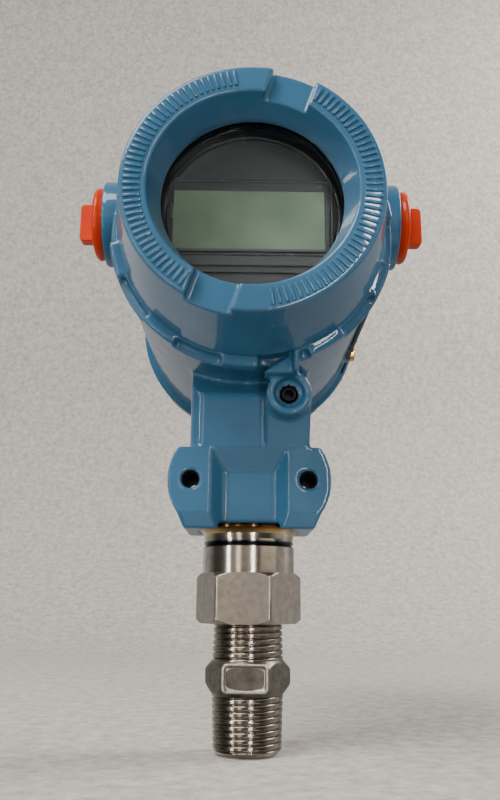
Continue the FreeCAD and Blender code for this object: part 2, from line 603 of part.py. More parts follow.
def make_display():
    body = new_body("display_bezel_body")
    cover = "meter_front - meter_wall"
    spun(body, "bezel", [
        ("meter_board_radius + 1", "meter_back"), ("meter_radius", "meter_back"),
        ("meter_radius", "meter_front - 3.4"), ("meter_face_radius", "meter_front"),
        ("0", "meter_front"), ("0", cover), ("meter_board_radius + 1", cover),
    ])
    opening = box_corners("-lcd_wide / 2 - run_gap - lcd_left", "lcd_wide / 2 + run_gap - lcd_left",
                          "-lcd_tall / 2 - run_gap - lcd_down", "lcd_tall / 2 + run_gap - lcd_down")
    window = sketch_on(body, "lcd_window_outline", "XY_Plane", off="meter_front")
    draw(window, opening)
    feature(body, "Pocket", "lcd_window", window, "meter_wall + 1")
    seats = sketch_on(body, "screw_seats_outline", "XY_Plane", off=cover)
    rings(seats, [("-fixing_across", "0"), ("fixing_across", "0")], "fixing_head + 1")
    feature(body, "Pad", "screw_pillars", seats, f"{cover} - meter_board_back - board_thick - seat_gap",
            back=True)
    holes = sketch_on(body, "screw_holes_outline", "XY_Plane", off="meter_front")
    rings(holes, [("-fixing_across", "0"), ("fixing_across", "0")], "fixing_radius + run_gap")
    feature(body, "Pocket", "screw_holes", holes, "meter_front - meter_board_back")
    settle(body, "display_bezel", meter_spot, "front")

    body = new_body("display_faceplate_body")
    disc = sketch_on(body, "disc_outline", "XY_Plane", off="plate_back")
    rings(disc, [("0", "0")], "plate_radius")
    feature(body, "Pad", "disc", disc, "plate_thick")
    frame = sketch_on(body, "frame_outline", "XY_Plane", off="plate_face")
    draw(frame, round_corners("frame_wide", "frame_tall", "frame_corner", "-lcd_left", "-frame_down"))
    feature(body, "Pad", "frame", frame, "frame_rise")
    window = sketch_on(body, "window_outline", "XY_Plane", off="plate_face + frame_rise")
    draw(window, opening)
    feature(body, "Pocket", "window", window, "plate_thick + frame_rise + 1")
    settle(body, "display_faceplate", meter_spot, "front")

    lcd = doc.addObject("Part::Box", "lcd_box")
    for side, text in (("Length", "lcd_wide"), ("Width", "lcd_tall"), ("Height", "lcd_thick")):
        lcd.setExpression(side, spell(text))
    settle(lcd, "lcd_panel", (
        "-lcd_wide / 2 - lcd_left", "-partition_front - plate_face - frame_rise + lcd_sink + lcd_thick",
        "head_height - lcd_tall / 2 - lcd_down"), "front")

    body = new_body("display_board_body")
    disc = sketch_on(body, "disc_outline", "XY_Plane", off="meter_board_back")
    rings(disc, [("0", "0")], "meter_board_radius")
    feature(body, "Pad", "disc", disc, "board_thick")
    chips = sketch_on(body, "chips_outline", "XY_Plane", off="meter_board_back")
    draw(chips, box_corners("-8", "8", "-6", "6"))
    draw(chips, box_corners("-4", "4", "-18", "-12"))
    feature(body, "Pad", "chips", chips, "1.8", back=True)
    holes = sketch_on(body, "holes_outline", "XY_Plane", off="meter_board_back + board_thick")
    rings(holes, [("-fixing_across", "0"), ("fixing_across", "0")], "fixing_radius + run_gap")
    feature(body, "Pocket", "holes", holes, "board_thick + 1")
    settle(body, "display_board", meter_spot, "front")


def make_electronics():
    body = new_body("electronics_tray_body")
    spun(body, "tray", [
        ("0", "seat_gap"), ("tray_radius", "seat_gap"), ("tray_radius", "tray_deep"),
        ("tray_radius - tray_wall", "tray_deep"), ("tray_radius - tray_wall", "board_back"),
        ("tray_radius - tray_wall - 3", "board_back"), ("tray_radius - tray_wall - 3", "tray_wall"),
        ("0", "tray_wall"),
    ])
    pillars = sketch_on(body, "pillars_outline", "XY_Plane", off="seat_gap")
    rings(pillars, [("-fixing_across", "0"), ("fixing_across", "0")], "fixing_head + 0.6")
    feature(body, "Pad", "pillars", pillars, "board_back - seat_gap")
    holes = sketch_on(body, "holes_outline", "XY_Plane", off="board_back")
    rings(holes, [("-fixing_across", "0"), ("fixing_across", "0")], "fixing_radius + run_gap")
    feature(body, "Pocket", "holes", holes, "board_back + 1")
    gap = sketch_on(body, "cable_gap_outline", "XY_Plane", off="tray_wall + 1")
    draw(gap, box_corners("-window_wide / 2", "window_wide / 2", "window_low - head_height",
                          "window_high - head_height"))
    feature(body, "Pocket", "cable_gap", gap, "tray_wall + 2")
    settle(body, "electronics_tray", meter_spot, "front")

    body = new_body("electronics_board_body")
    disc = sketch_on(body, "disc_outline", "XY_Plane", off="board_back + seat_gap")
    rings(disc, [("0", "0")], "board_radius")
    feature(body, "Pad", "disc", disc, "board_thick")
    chips = sketch_on(body, "chips_outline", "XY_Plane", off="board_back + seat_gap + board_thick")
    draw(chips, box_corners("-12", "-2", "2", "12"))
    draw(chips, box_corners("4", "14", "-10", "-2"))
    draw(chips, box_corners("-18", "-10", "-14", "-8"))
    feature(body, "Pad", "chips", chips, "2.2")
    plug = sketch_on(body, "plug_outline", "XY_Plane", off="board_back + seat_gap")
    draw(plug, box_corners("-7", "7", "-24", "-18"))
    feature(body, "Pad", "cable_plug", plug, "3.4", back=True)
    holes = sketch_on(body, "holes_outline", "XY_Plane", off="board_back + board_thick + 1")
    rings(holes, [("-fixing_across", "0"), ("fixing_across", "0")], "fixing_radius + run_gap")
    feature(body, "Pocket", "holes", holes, "board_thick + 2")
    settle(body, "electronics_board", meter_spot, "front")


def screw(label, spots, way, shank, reach, head, head_high, drive="slot"):
    """Cheese-head screws of one kind; local Z points out of the head, z = 0 under it."""
    made = []
    for number_in_row, spot in enumerate(spots, 1):
        body = new_body(f"{label}_{number_in_row}_body")
        spun(body, "turning", [
            ("0", f"-({reach})"), (f"{shank} - 0.3", f"-({reach})"), (shank, f"0.3 - ({reach})"),
            (shank, "0"), (head, "0"), (head, f"{head_high} - 0.3"), (f"{head} - 0.3", head_high),
            ("0", head_high),
        ])
        cut = sketch_on(body, "drive_outline", "XY_Plane", off=head_high)
        if drive == "slot":
            draw(cut, box_corners(f"-({head}) - 1", f"{head} + 1", "-0.4", "0.4"))
        else:
            rings(cut, [("0", "0")], f"({head}) * 0.5")
        feature(body, "Pocket", "drive", cut, f"({head_high}) * 0.45")
        made.append((body, spot))
    if len(made) == 1:
        return settle(made[0][0], label, made[0][1], way)
    for body, spot in made:
        body.Placement = Placement(Vector(*[number(text) for text in spot]), facing[way])
        for axis, text in zip("xyz", spot):
            if text != "0":
                body.setExpression(f"Placement.Base.{axis}", spell(text))
    pair = doc.addObject("Part::Compound", label + "_set")
    pair.Links = [body for body, _ in made]
    pair.Label = label
    nodes.append(pair)
    return pair


def make_front_screws():
    screw("electronics_screws", [
        (f"{side}fixing_across", "-partition_front - board_back - board_thick - 2 * seat_gap",
         "head_height") for side in ("-", "")], "front", "fixing_radius",
        "board_back + board_thick + 2 * seat_gap + fixing_depth - 0.2", "fixing_head", "1.8")
    screw("display_screws", [
        (f"{side}fixing_across", "-partition_front - meter_board_back + seat_gap", "head_height")
        for side in ("-", "")], "rear", "fixing_radius", "4.6", "fixing_head", "1.6")


# ---- terminals, in a frame with Z rearward from the block's back ----
def make_terminals():
    body = new_body("terminal_block_body")
    outline = sketch_on(body, "block_outline", "XY_Plane", off="block_back")
    draw(outline, round_corners("block_wide", "block_tall", "block_corner"))
    feature(body, "Pad", "block", outline, "block_thick")
    wells = sketch_on(body, "wells_outline", "XY_Plane", off="block_face")
    for step in (-1, 0, 1):
        middle = f"{step} * terminal_step"
        draw(wells, box_corners(f"{middle} - terminal_well_wide / 2", f"{middle} + terminal_well_wide / 2",
                                "-terminal_well_wide / 2", "block_tall / 2 + 1"))
    feature(body, "Pocket", "terminal_wells", wells, "terminal_well_deep")
    holes = sketch_on(body, "screw_holes_outline", "XY_Plane", off="block_face")
    rings(holes, [(f"{step} * terminal_step", "0") for step in (-1, 0, 1)], "terminal_radius + run_gap")
    feature(body, "Pocket", "terminal_holes", holes, "terminal_well_deep + terminal_shank")
    fixing = sketch_on(body, "fixing_holes_outline", "XY_Plane", off="block_face")
    rings(fixing, [("-post_across", "0"), ("post_across", "0")], "terminal_radius + run_gap")
    feature(body, "Pocket", "fixing_holes", fixing, "block_thick + 1")
    sinks = sketch_on(body, "fixing_sinks_outline", "XY_Plane", off="block_face")
    rings(sinks, [("-post_across", "0"), ("post_across", "0")], "terminal_head_radius + loose_gap")
    feature(body, "Pocket", "fixing_sinks", sinks, "block_thick - 5")
    settle(body, "terminal_block", ("0", "0", "post_height"), "rear")

    clamps = []
    floor = "block_face - terminal_well_deep + seat_gap"
    for step in (-1, 0, 1):
        plate = new_body(f"terminal_clamp_{step + 2}_body")
        square = sketch_on(plate, "square_outline", "XY_Plane")
        draw(square, box_corners("-clamp_wide / 2", "clamp_wide / 2", "-clamp_wide / 2", "clamp_wide / 2"))
        feature(plate, "Pad", "square", square, "clamp_thick")
        hole = sketch_on(plate, "hole_outline", "XY_Plane", off="clamp_thick")
        rings(hole, [("0", "0")], "terminal_radius + run_gap")
        feature(plate, "Pocket", "hole", hole, "clamp_thick + 1")
        spot = (f"{-step} * terminal_step", floor, "post_height")
        plate.Placement = Placement(Vector(*[number(text) for text in spot]), facing["rear"])
        for axis, text in zip("xyz", spot):
            plate.setExpression(f"Placement.Base.{axis}", spell(text))
        clamps.append(plate)
    row = doc.addObject("Part::Compound", "terminal_clamp_set")
    row.Links = clamps
    row.Label = "terminal_clamps"
    nodes.append(row)

    for step, label in ((1, "terminal_screw_1"), (0, "terminal_screw_2"), (-1, "terminal_screw_3")):
        screw(label, [(f"{step} * terminal_step", floor + " + clamp_thick + seat_gap", "post_height")],
              "rear", "terminal_radius", "terminal_shank - 0.5", "terminal_head_radius", "terminal_head")
    screw("terminal_block_screws", [
        (f"{side}post_across", "block_back + 5 + seat_gap", "post_height") for side in ("-", "")],
        "rear", "terminal_radius", "5 + terminal_shank", "terminal_head_radius", "terminal_head")
    screw("internal_ground_screw", [("-earth_across", "post_end + seat_gap", "head_height - earth_drop")],
          "rear", "terminal_radius", "terminal_shank", "terminal_head_radius", "terminal_head")


# ---- conduit plugs, in a frame with Z out of the boss face ----
def make_plug(label, spot, way):
    body = new_body(label + "_body")
    stem = "entry_radius - run_gap"
    spun(body, "turning", [
        ("0", "0.8"), (f"{stem} - plug_wall", "0.8"), (f"{stem} - plug_wall", "-plug_stem"),
        (f"{stem} - 0.6", "-plug_stem"), (stem, "0.6 - plug_stem"), (stem, "seat_gap"),
        ("plug_radius - 0.9", "seat_gap"), ("plug_radius", "plug_thick - 1.2"),
        ("plug_radius - 0.6", "plug_thick"), ("0.55 * plug_radius", "plug_thick + plug_dome"),
        ("0", "plug_thick + plug_dome"),
    ])
    tab = sketch_on(body, "tab_outline", "XY_Plane", off="plug_thick")
    draw(tab, box_corners("-tab_tall / 2", "tab_tall / 2", "-tab_thick / 2", "tab_thick / 2"))
    feature(body, "Pad", "tab", tab, "plug_dome + tab_reach")
    top = number("plug_thick + plug_dome + tab_reach")

    def tab_edge(edge):
        spots = [vertex.Point for vertex in edge.Vertexes]
        return (len(spots) == 2 and all(abs(spot.z - top) < 0.01 for spot in spots)
                and abs(spots[0].x - spots[1].x) < 0.01)
    soften(body, "tab_round", "1.6", tab_edge)
    return settle(body, label, spot, way)


# ---- nameplate side ----
def make_nameplate():
    body = new_body("nameplate_body")
    low, high = "body_radius + name_stand", "body_radius + name_stand + name_thick"
    plate = sketch_on(body, "plate_outline", "XZ_Plane", up="head_height", off="plate_front")
    draw(plate, [
        (f"({low}) * sin(plate_start)", f"-({low}) * cos(plate_start)"),
        (f"({high}) * sin(plate_start)", f"-({high}) * cos(plate_start)", high),
        (f"({high}) * sin(plate_stop)", f"-({high}) * cos(plate_stop)"),
        (f"({low}) * sin(plate_stop)", f"-({low}) * cos(plate_stop)", f"-({low})"),
    ])
    feature(body, "Pad", "plate", plate, "plate_front + plate_rear", back=True)
    hole = sketch_on(body, "earth_gap_outline", "YZ_Plane", off="flange_radius + 4")
    rings(hole, [("earth_y", "earth_height")], "earth_boss_radius + loose_gap")
    feature(body, "Pocket", "earth_gap", hole, "12")
    pins = radial_sketch(body, "pin_gaps_outline", "flange_radius + 1")
    rings(pins, [("-pin_front", "0"), ("pin_rear", "0")], "pin_radius + run_gap")
    feature(body, "Pocket", "pin_gaps", pins, "12")
    settle(body, "nameplate")
    over = f"({high} + seat_gap)"
    screw("nameplate_screws", [(f"{over} * sin(pin_turn)", along, f"head_height - {over} * cos(pin_turn)")
                               for along in ("-pin_front", "pin_rear")],
          "plate", "pin_radius", "4.2", "pin_head_radius", "1.3")
    screw("external_ground_screw", [("earth_boss_reach + seat_gap", "earth_y", "earth_height")],
          "right", "earth_screw_radius", "5", "earth_head_radius", "earth_head")


def make_lock_screw(label, spot, way):
    """A socket set screw, flush with the counterbore floor."""
    body = new_body(label + "_body")
    radius = "lock_thread_radius - run_gap"
    spun(body, "turning", [
        ("0", "-lock_screw_length"), (f"{radius} - 0.7", "-lock_screw_length"),
        (radius, "0.7 - lock_screw_length"), (radius, "-0.4"), (f"{radius} - 0.4", "0"), ("0", "0"),
    ])
    socket = sketch_on(body, "socket_outline", "XY_Plane")
    flat = 1.45
    draw(socket, [(str(round(flat * math.cos(math.radians(60 * k)), 4)),
                   str(round(flat * math.sin(math.radians(60 * k)), 4))) for k in range(6)])
    feature(body, "Pocket", "socket", socket, "2.6")
    return settle(body, label, spot, way)


# ---- sensor stack on the process axis ----
def hexagon(flats, turn):
    """The corners of a hexagon of this width across flats, turned about Z."""
    return [(f"{flats} / sqrt(3) * cos({turn} + {60 * k})", f"{flats} / sqrt(3) * sin({turn} + {60 * k})")
            for k in range(6)]


def make_sensor():
    body = new_body("sensor_body_body")
    spun(body, "turning", [
        ("cell_bore", "cell_floor"), ("0", "cell_floor"), ("0", "weld_low + 0.6"),
        ("weld_low_radius - 0.6", "weld_low"), ("weld_low_radius", "weld_low + 0.5"),
        ("weld_low_radius - 0.2", "weld_low + 1.6"), ("weld_low_radius + 0.1", "weld_low + 3.2"),
        ("weld_high_radius", "weld_high - 1"), ("weld_high_radius", "weld_high"),
        ("stem_radius", "weld_high"), ("stem_radius", "weld_high + 1.4"),
        ("stem_radius - 1.4", "weld_high + 1.4"), ("stem_radius - 1.4", "weld_high + 3.6"),
        ("stem_radius", "weld_high + 3.6"), ("stem_radius", "stem_top - 0.8"),
        ("stem_radius - 0.8", "stem_top"), ("cell_bore", "stem_top"),
    ])
    settle(body, "sensor_body")
    make_oring("sensor_oring", ("0", "0", "weld_high + 2.5"), "up", "stem_radius - 1.35 + 0.65", "0.65")

    body = new_body("sensor_capsule_body")
    low = "cell_floor + seat_gap"
    spun(body, "turning", [
        ("0", low), ("cell_radius", low), ("cell_radius", f"{low} + cell_high - 1"),
        ("cell_radius - 1", f"{low} + cell_high"), ("0", f"{low} + cell_high"),
    ])
    settle(body, "sensor_capsule")
    pins = []
    for k in range(8):
        pin = doc.addObject("Part::Cylinder", f"feedthrough_pin_{k + 1}")
        pin.Radius = 0.4
        pin.setExpression("Height", spell("4.4"))
        pin.Placement = Placement(Vector(4 * math.cos(math.pi * k / 4), 4 * math.sin(math.pi * k / 4),
                                         number(f"{low} + cell_high + seat_gap")), Rotation())
        pin.setExpression("Placement.Base.z", spell(f"{low} + cell_high + seat_gap"))
        pins.append(pin)
    row = doc.addObject("Part::Compound", "feedthrough_pin_set")
    row.Links = pins
    row.Label = "feedthrough_pins"
    nodes.append(row)

    board = f"{low} + cell_high + seat_gap + 4.4 + seat_gap"
    body = new_body("sensor_board_body")
    disc = sketch_on(body, "disc_outline", "XY_Plane", off=board)
    rings(disc, [("0", "0")], "cell_bore - seat_gap")
    feature(body, "Pad", "disc", disc, "board_thick")
    chips = sketch_on(body, "chips_outline", "XY_Plane", off=f"{board} + board_thick")
    draw(chips, box_corners("-4", "4", "-2.5", "3"))
    feature(body, "Pad", "chips", chips, "1.6")
    settle(body, "sensor_board")

    turned("sensor_cap", [
        ("0", "stem_top - 4"), ("cell_bore - seat_gap", "stem_top - 4"),
        ("cell_bore - seat_gap", "stem_top"), ("0", "stem_top"),
    ])

    # flat cable: up the neck, forward through the partition window, up to its plug
    cable = new_body("sensor_cable_body")
    start = "stem_top + seat_gap"
    level = "(window_low + 4)"
    back = "(partition_front + tray_wall + 2)"
    side = sketch_on(cable, "cable_side", "YZ_Plane")
    draw(side, [
        ("-0.4", start), ("0.4", start), ("0.4", f"{level} - 1"),
        ("-0.6", f"{level} + 0.4"), (f"-{back} - 0.4", f"{level} + 0.4"),
        (f"-{back} - 0.4", f"{level} - 0.4"), ("-1.4", f"{level} - 0.4"), ("-0.4", f"{level} - 1.6"),
    ])
    feature(cable, "Pad", "strip", side, "12", both=True)
    settle(cable, "sensor_cable")


def make_connector():
    """Collar and large hexagon, turned from one bar."""
    body = new_body("process_connector_body")
    top = "weld_low - 0.03"
    spun(body, "turning", [
        ("0", top), ("port_radius - 1", f"{top} - 1"), ("port_radius - 1", "hex_low + seat_deep"),
        ("port_radius", "hex_low + seat_deep"), ("port_radius", "hex_low + socket_deep"),
        ("socket_radius - socket_deep * pipe_taper", "hex_low + socket_deep"),
        ("socket_radius", "hex_low"), ("hex_corner - 2.2", "hex_low"),
        ("hex_corner", "hex_low + 1.25"), ("hex_corner", "collar_low - 1.25"),
        ("collar_radius + 0.4", "collar_low"), ("collar_radius", "collar_low"),
        ("collar_radius", f"{top} - collar_chamfer"), ("collar_radius - collar_chamfer", top),
    ])
    flats = sketch_on(body, "flats_outline", "XY_Plane", off="collar_low + 0.01")
    draw(flats, hexagon("hex_flats", "hex_turn"))
    rings(flats, [("0", "0")], "hex_corner + 2")
    feature(body, "Pocket", "flats", flats, "collar_low - hex_low + 0.1")
    settle(body, "process_connector")

    at = "hex_low + seat_deep"
    turned("isolating_diaphragm", [
        ("0", f"{at} - diaphragm_thick - seat_gap"), ("3", f"{at} - diaphragm_thick - seat_gap"),
        ("4", f"{at} - diaphragm_thick - 0.4"), ("5", f"{at} - diaphragm_thick - seat_gap"),
        ("port_radius - seat_gap", f"{at} - diaphragm_thick - seat_gap"),
        ("port_radius - seat_gap", f"{at} - seat_gap"), ("5", f"{at} - seat_gap"),
        ("4", f"{at} - 0.4"), ("3", f"{at} - seat_gap"), ("0", f"{at} - seat_gap"),
    ])


def pipe_teeth(low, count, sign):
    """Ridges of a tapered pipe thread from low upwards; sign says which way it widens."""
    corners = []
    for turn in range(count):
        for part, sink in ((0.0, "pipe_thread_deep"), (0.14, "pipe_thread_deep"), (0.5, "0"), (0.64, "0")):
            height = f"{low} + {turn + part} * thread_pitch"
            grow = "pipe_radius + ({}) * pipe_taper".format(
                height if sign > 0 else f"nut_low + nut_high - ({height})")
            corners.append((f"{grow} - {sink}", height))
    return corners


def make_nipple():
    """Hexagon nipple with a tapered pipe thread on both ends."""
    body = new_body("hex_nipple_body")
    root = "pipe_radius - pipe_thread_deep"
    lower = pipe_teeth("pipe_lead", 8, 1)
    upper = pipe_teeth("nut_high + relief", 6, -1)
    spun(body, "turning", [
        ("nipple_bore", "0"), (f"{root} - 0.2", "0"), *lower,
        (f"{root} + 0.3", "nut_low - 1.2"), (f"{root} + 0.3", "nut_low"),
        ("nut_corner - 1", "nut_low"), ("nut_corner", "nut_low + 0.9"),
        ("nut_corner", "nut_high - 0.9"), ("nut_corner - 1", "nut_high"),
        (f"{root} + 0.3", "nut_high"), *upper,
        (f"{root} - 0.1", "nut_high + relief + 6 * thread_pitch"),
        (f"{root} - 0.3", "nipple_top"), ("nipple_bore", "nipple_top"),
    ])
    flats = sketch_on(body, "flats_outline", "XY_Plane", off="nut_high + 0.01")
    draw(flats, hexagon("nut_flats", "0"))
    rings(flats, [("0", "0")], "nut_corner + 2")
    feature(body, "Pocket", "flats", flats, "nut_high - nut_low + 0.02")
    settle(body, "hex_nipple")


make_housing()
make_front_cover()
make_oring("front_cover_oring", ("0", "-front_face + groove_near + ring_groove_wide / 2", "head_height"), "front")
make_window()
make_rear_cover()
make_oring("rear_cover_oring", ("0", "rear_face - groove_near - ring_groove_wide / 2", "head_height"), "rear")
make_display()
make_electronics()
make_front_screws()
make_terminals()
make_plug("left_conduit_plug", ("-plug_face", "0", "conduit_height"), "left")
make_plug("right_conduit_plug", ("plug_face", "0", "conduit_height"), "right")
make_nameplate()
make_lock_screw("front_lock_screw", ("lock_across", "lock_sink - lock_front", "lock_height"), "front")
make_lock_screw("rear_lock_screw", ("lock_across", "lock_rear - lock_sink", "lock_height"), "rear")
make_sensor()
make_connector()
make_nipple()

doc.recompute()
for item in doc.Objects:
    if "Invalid" in item.State or "Error" in item.State:
        raise RuntimeError(f"{item.Name} did not rebuild: {item.State}")
for node in nodes:
    if node.Shape.isNull() or not node.Shape.isValid() or not node.Shape.Solids:
        raise RuntimeError(f"{node.Label} has no sound shape")

os.makedirs("parts", exist_ok=True)
for node in nodes:
    node.Shape.exportStep(f"parts/{node.Label}.step")
    print(f"{node.Label}: {len(node.Shape.Solids)} solid, {node.Shape.Volume:.0f} mm3")
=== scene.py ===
import bpy
import bmesh
import json
import math
from mathutils import Matrix, Vector


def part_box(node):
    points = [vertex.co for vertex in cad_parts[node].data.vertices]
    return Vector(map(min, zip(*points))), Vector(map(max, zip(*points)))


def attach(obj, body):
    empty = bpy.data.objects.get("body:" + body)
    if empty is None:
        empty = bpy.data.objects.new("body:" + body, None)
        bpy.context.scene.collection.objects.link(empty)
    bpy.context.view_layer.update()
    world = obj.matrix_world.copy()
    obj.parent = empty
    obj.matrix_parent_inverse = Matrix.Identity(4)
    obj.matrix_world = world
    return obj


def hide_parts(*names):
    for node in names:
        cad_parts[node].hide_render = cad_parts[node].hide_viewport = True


# Pressure transmitter: painted casting, screwed covers, orange plugs, stainless neck and nipple.
# Objects are in metres, +Z up the process axis, the display looks along -Y.
# The dictionaries of the part's pieces are in millimetres and degrees.

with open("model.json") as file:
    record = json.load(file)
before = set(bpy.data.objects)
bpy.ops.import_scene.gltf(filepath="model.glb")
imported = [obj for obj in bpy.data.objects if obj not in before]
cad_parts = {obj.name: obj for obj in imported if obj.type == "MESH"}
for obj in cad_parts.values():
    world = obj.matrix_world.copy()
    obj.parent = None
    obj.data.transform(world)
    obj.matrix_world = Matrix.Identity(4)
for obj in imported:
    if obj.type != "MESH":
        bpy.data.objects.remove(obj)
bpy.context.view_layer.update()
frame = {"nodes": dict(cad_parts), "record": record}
nodes = frame["nodes"]
mm = 0.001
print("frame loaded:", len(nodes), "nodes")

# where things are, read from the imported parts
coverLow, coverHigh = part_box("front_cover")
headZ = (coverLow.z + coverHigh.z) / 2  # height of the display axis
ringY = coverLow.y  # front face of the cover ring


def linear(hexText):  # sRGB hex to linear
    channels = [int(hexText[i:i + 2], 16) / 255 for i in (1, 3, 5)]
    return [c / 12.92 if c <= 0.04045 else ((c + 0.055) / 1.055) ** 2.4
            for c in channels] + [1.0]


def perMetre(size):  # texture scale whose grain is size millimetres across
    return 1 / (size * mm)


def addNode(tree, kind, settings=None, links=None, stops=()):
    # settings are properties or inputs, stops are the steps of a ramp as (place, hex or grey)
    node = tree.nodes.new(kind)
    for name, value in (settings or {}).items():
        if isinstance(name, str) and hasattr(node, name):
            setattr(node, name, value)
        else:
            node.inputs[name].default_value = value
    for name, source in (links or {}).items():
        tree.links.new(source, node.inputs[name])
    if stops:
        steps = node.color_ramp.elements
        while len(steps) < len(stops):
            steps.new(0.5)
        for step, (place, tone) in zip(steps, stops):
            step.position = place
            step.color = linear(tone) if isinstance(tone, str) else (tone, tone, tone, 1)
    return node


def newMaterial(name, settings):
    material = bpy.data.materials.new(name)
    material.use_nodes = True
    tree = material.node_tree
    tree.nodes.clear()
    shader = addNode(tree, "ShaderNodeBsdfPrincipled", settings)
    addNode(tree, "ShaderNodeOutputMaterial", links={"Surface": shader.outputs[0]})
    return material, tree, shader


# materials, each named for the real finish, and for painted shade where they carry it; texture
# sizes are in millimetres
paint = {"gloss": (0.31, 0.39), "cloud": 22, "haze": 9, "peel": 2.4, "peelDeep": 0.04}


def polyurethanePaint(name, deep, fair, coat):
    # glossy wet-sprayed paint on a casting: slight orange peel, colour a little uneven
    material, tree, shader = newMaterial(name, {
        "Roughness": 0.35, "IOR": 1.5, "Specular IOR Level": 0.12,
        "Coat Weight": coat, "Coat Roughness": 0.03, "Coat IOR": 1.5})
    place = addNode(tree, "ShaderNodeTexCoord").outputs["Object"]
    cloud = addNode(tree, "ShaderNodeTexNoise",
                    {"Scale": perMetre(paint["cloud"]), "Detail": 3.0}, {"Vector": place})
    colour = addNode(tree, "ShaderNodeValToRGB", links={"Fac": cloud.outputs["Fac"]},
                     stops=[(0.35, deep), (0.65, fair)])
    tree.links.new(colour.outputs[0], shader.inputs["Base Color"])
    haze = addNode(tree, "ShaderNodeTexNoise",
                   {"Scale": perMetre(paint["haze"]), "Detail": 2.0}, {"Vector": place})
    gloss = addNode(tree, "ShaderNodeValToRGB", links={"Fac": haze.outputs["Fac"]},
                    stops=[(0.3, paint["gloss"][0]), (0.7, paint["gloss"][1])])
    tree.links.new(gloss.outputs[0], shader.inputs["Roughness"])
    peel = addNode(tree, "ShaderNodeTexNoise",
                   {"Scale": perMetre(paint["peel"]), "Detail": 1.0}, {"Vector": place})
    relief = addNode(tree, "ShaderNodeBump",
                     {"Strength": 0.2, "Distance": paint["peelDeep"] * mm},
                     {"Height": peel.outputs["Fac"]})
    tree.links.new(relief.outputs[0], shader.inputs["Normal"])
    return material


steel = {"grooveLong": 8, "grooveDeep": 0.03, "grainDeep": 0.06}


def machinedSteel(name, tone, rough, grooves, uneven=3.0, cast=0.0):
    # stainless steel: turned grooves run round Z, a cast skin has fine grain instead
    material, tree, shader = newMaterial(name, {"Metallic": 1.0, "Roughness": rough})
    place = addNode(tree, "ShaderNodeTexCoord").outputs["Object"]
    cloud = addNode(tree, "ShaderNodeTexNoise", {"Scale": perMetre(uneven), "Detail": 4.0},
                    {"Vector": place})
    colour = addNode(tree, "ShaderNodeValToRGB", links={"Fac": cloud.outputs["Fac"]},
                     stops=[(0.3, tone[0]), (0.7, tone[1])])
    tree.links.new(colour.outputs[0], shader.inputs["Base Color"])
    if grooves:
        long = steel["grooveLong"]
        stretch = addNode(tree, "ShaderNodeMapping", {"Scale": (long, long, perMetre(grooves))},
                          {"Vector": place})
        height = addNode(tree, "ShaderNodeTexNoise", {"Scale": 1.0, "Detail": 3.0},
                         {"Vector": stretch.outputs[0]})
        relief = {"Strength": 0.5, "Distance": steel["grooveDeep"] * mm}
    else:
        height = addNode(tree, "ShaderNodeTexNoise", {"Scale": perMetre(cast), "Detail": 3.0},
                         {"Vector": place})
        relief = {"Strength": 0.6, "Distance": steel["grainDeep"] * mm}
    bump = addNode(tree, "ShaderNodeBump", relief, {"Height": height.outputs["Fac"]})
    tree.links.new(bump.outputs[0], shader.inputs["Normal"])
    return material


plain = {"patch": 5, "spread": 0.06, "least": 0.02}


def plainFinish(name, colour, rough, metallic=0.0, grain=0.0, depth=0.0):
    # one even colour with patchy gloss, and a fine moulded grain where it has one
    material, tree, shader = newMaterial(name, {
        "Base Color": linear(colour), "Metallic": metallic, "Roughness": rough})
    place = addNode(tree, "ShaderNodeTexCoord").outputs["Object"]
    cloud = addNode(tree, "ShaderNodeTexNoise",
                    {"Scale": perMetre(plain["patch"]), "Detail": 3.0}, {"Vector": place})
    gloss = addNode(tree, "ShaderNodeValToRGB", links={"Fac": cloud.outputs["Fac"]},
                    stops=[(0.3, max(rough - plain["spread"], plain["least"])),
                           (0.7, rough + plain["spread"])])
    tree.links.new(gloss.outputs[0], shader.inputs["Roughness"])
    if grain:
        height = addNode(tree, "ShaderNodeTexNoise", {"Scale": perMetre(grain), "Detail": 2.0},
                         {"Vector": place})
        relief = addNode(tree, "ShaderNodeBump", {"Strength": 0.6, "Distance": depth * mm},
                         {"Height": height.outputs["Fac"]})
        tree.links.new(relief.outputs[0], shader.inputs["Normal"])
    return material


bluePaint = polyurethanePaint("bluePolyurethanePaint", "#345F7C", "#3A6886", 0.65)
orangePaint = polyurethanePaint("orangePlugPaint", "#C23006", "#CC380A", 0.25)
turnedSteel = machinedSteel("turnedStainless", ("#ADA497", "#C6BDB0"), 0.17, 0.25)
castSteel = machinedSteel("castStainless", ("#605B53", "#7E776D"), 0.32, 0, 2.0, 0.5)
threadSteel = machinedSteel("threadedStainless", ("#857C70", "#A0968A"), 0.2, 0.25)
panelSteel = machinedSteel("shotCleanedStainless", ("#9C958A", "#C4BDB1"), 0.34, 0, 0.9, 0.4)
milledSteel = machinedSteel("milledStainless", ("#989086", "#B0A79C"), 0.3, 0, 2.0, 0.35)
blackAbs = plainFinish("blackAbsMoulding", "#060607", 0.22, grain=0.6, depth=0.02)
darkFilm = plainFinish("darkPolyesterFilm", "#28292A", 0.42, grain=0.4, depth=0.02)
rimPlastic = plainFinish("greyPolycarbonateRim", "#343637", 0.25)
# near-black and rough: painted shade for the inside of the tapped holes
tappedBoreShade = plainFinish("bareTappedBoreWithPaintedShade", "#050607", 0.85)
zincScrew = plainFinish("zincPlatedSteel", "#C6C9CC", 0.25, 1.0)
blackScrew = plainFinish("blackenedSteel", "#1B1B1E", 0.35, 1.0)
brightBrass = plainFinish("brightBrass", "#D9B268", 0.22, 1.0)
nickelBrass = plainFinish("nickelPlatedBrass", "#CFCBC0", 0.2, 1.0)
goldPin = plainFinish("goldFlash", "#E0B25A", 0.2, 1.0)
blackAluminium = plainFinish("blackAnodisedAluminium", "#0B0B0C", 0.3)
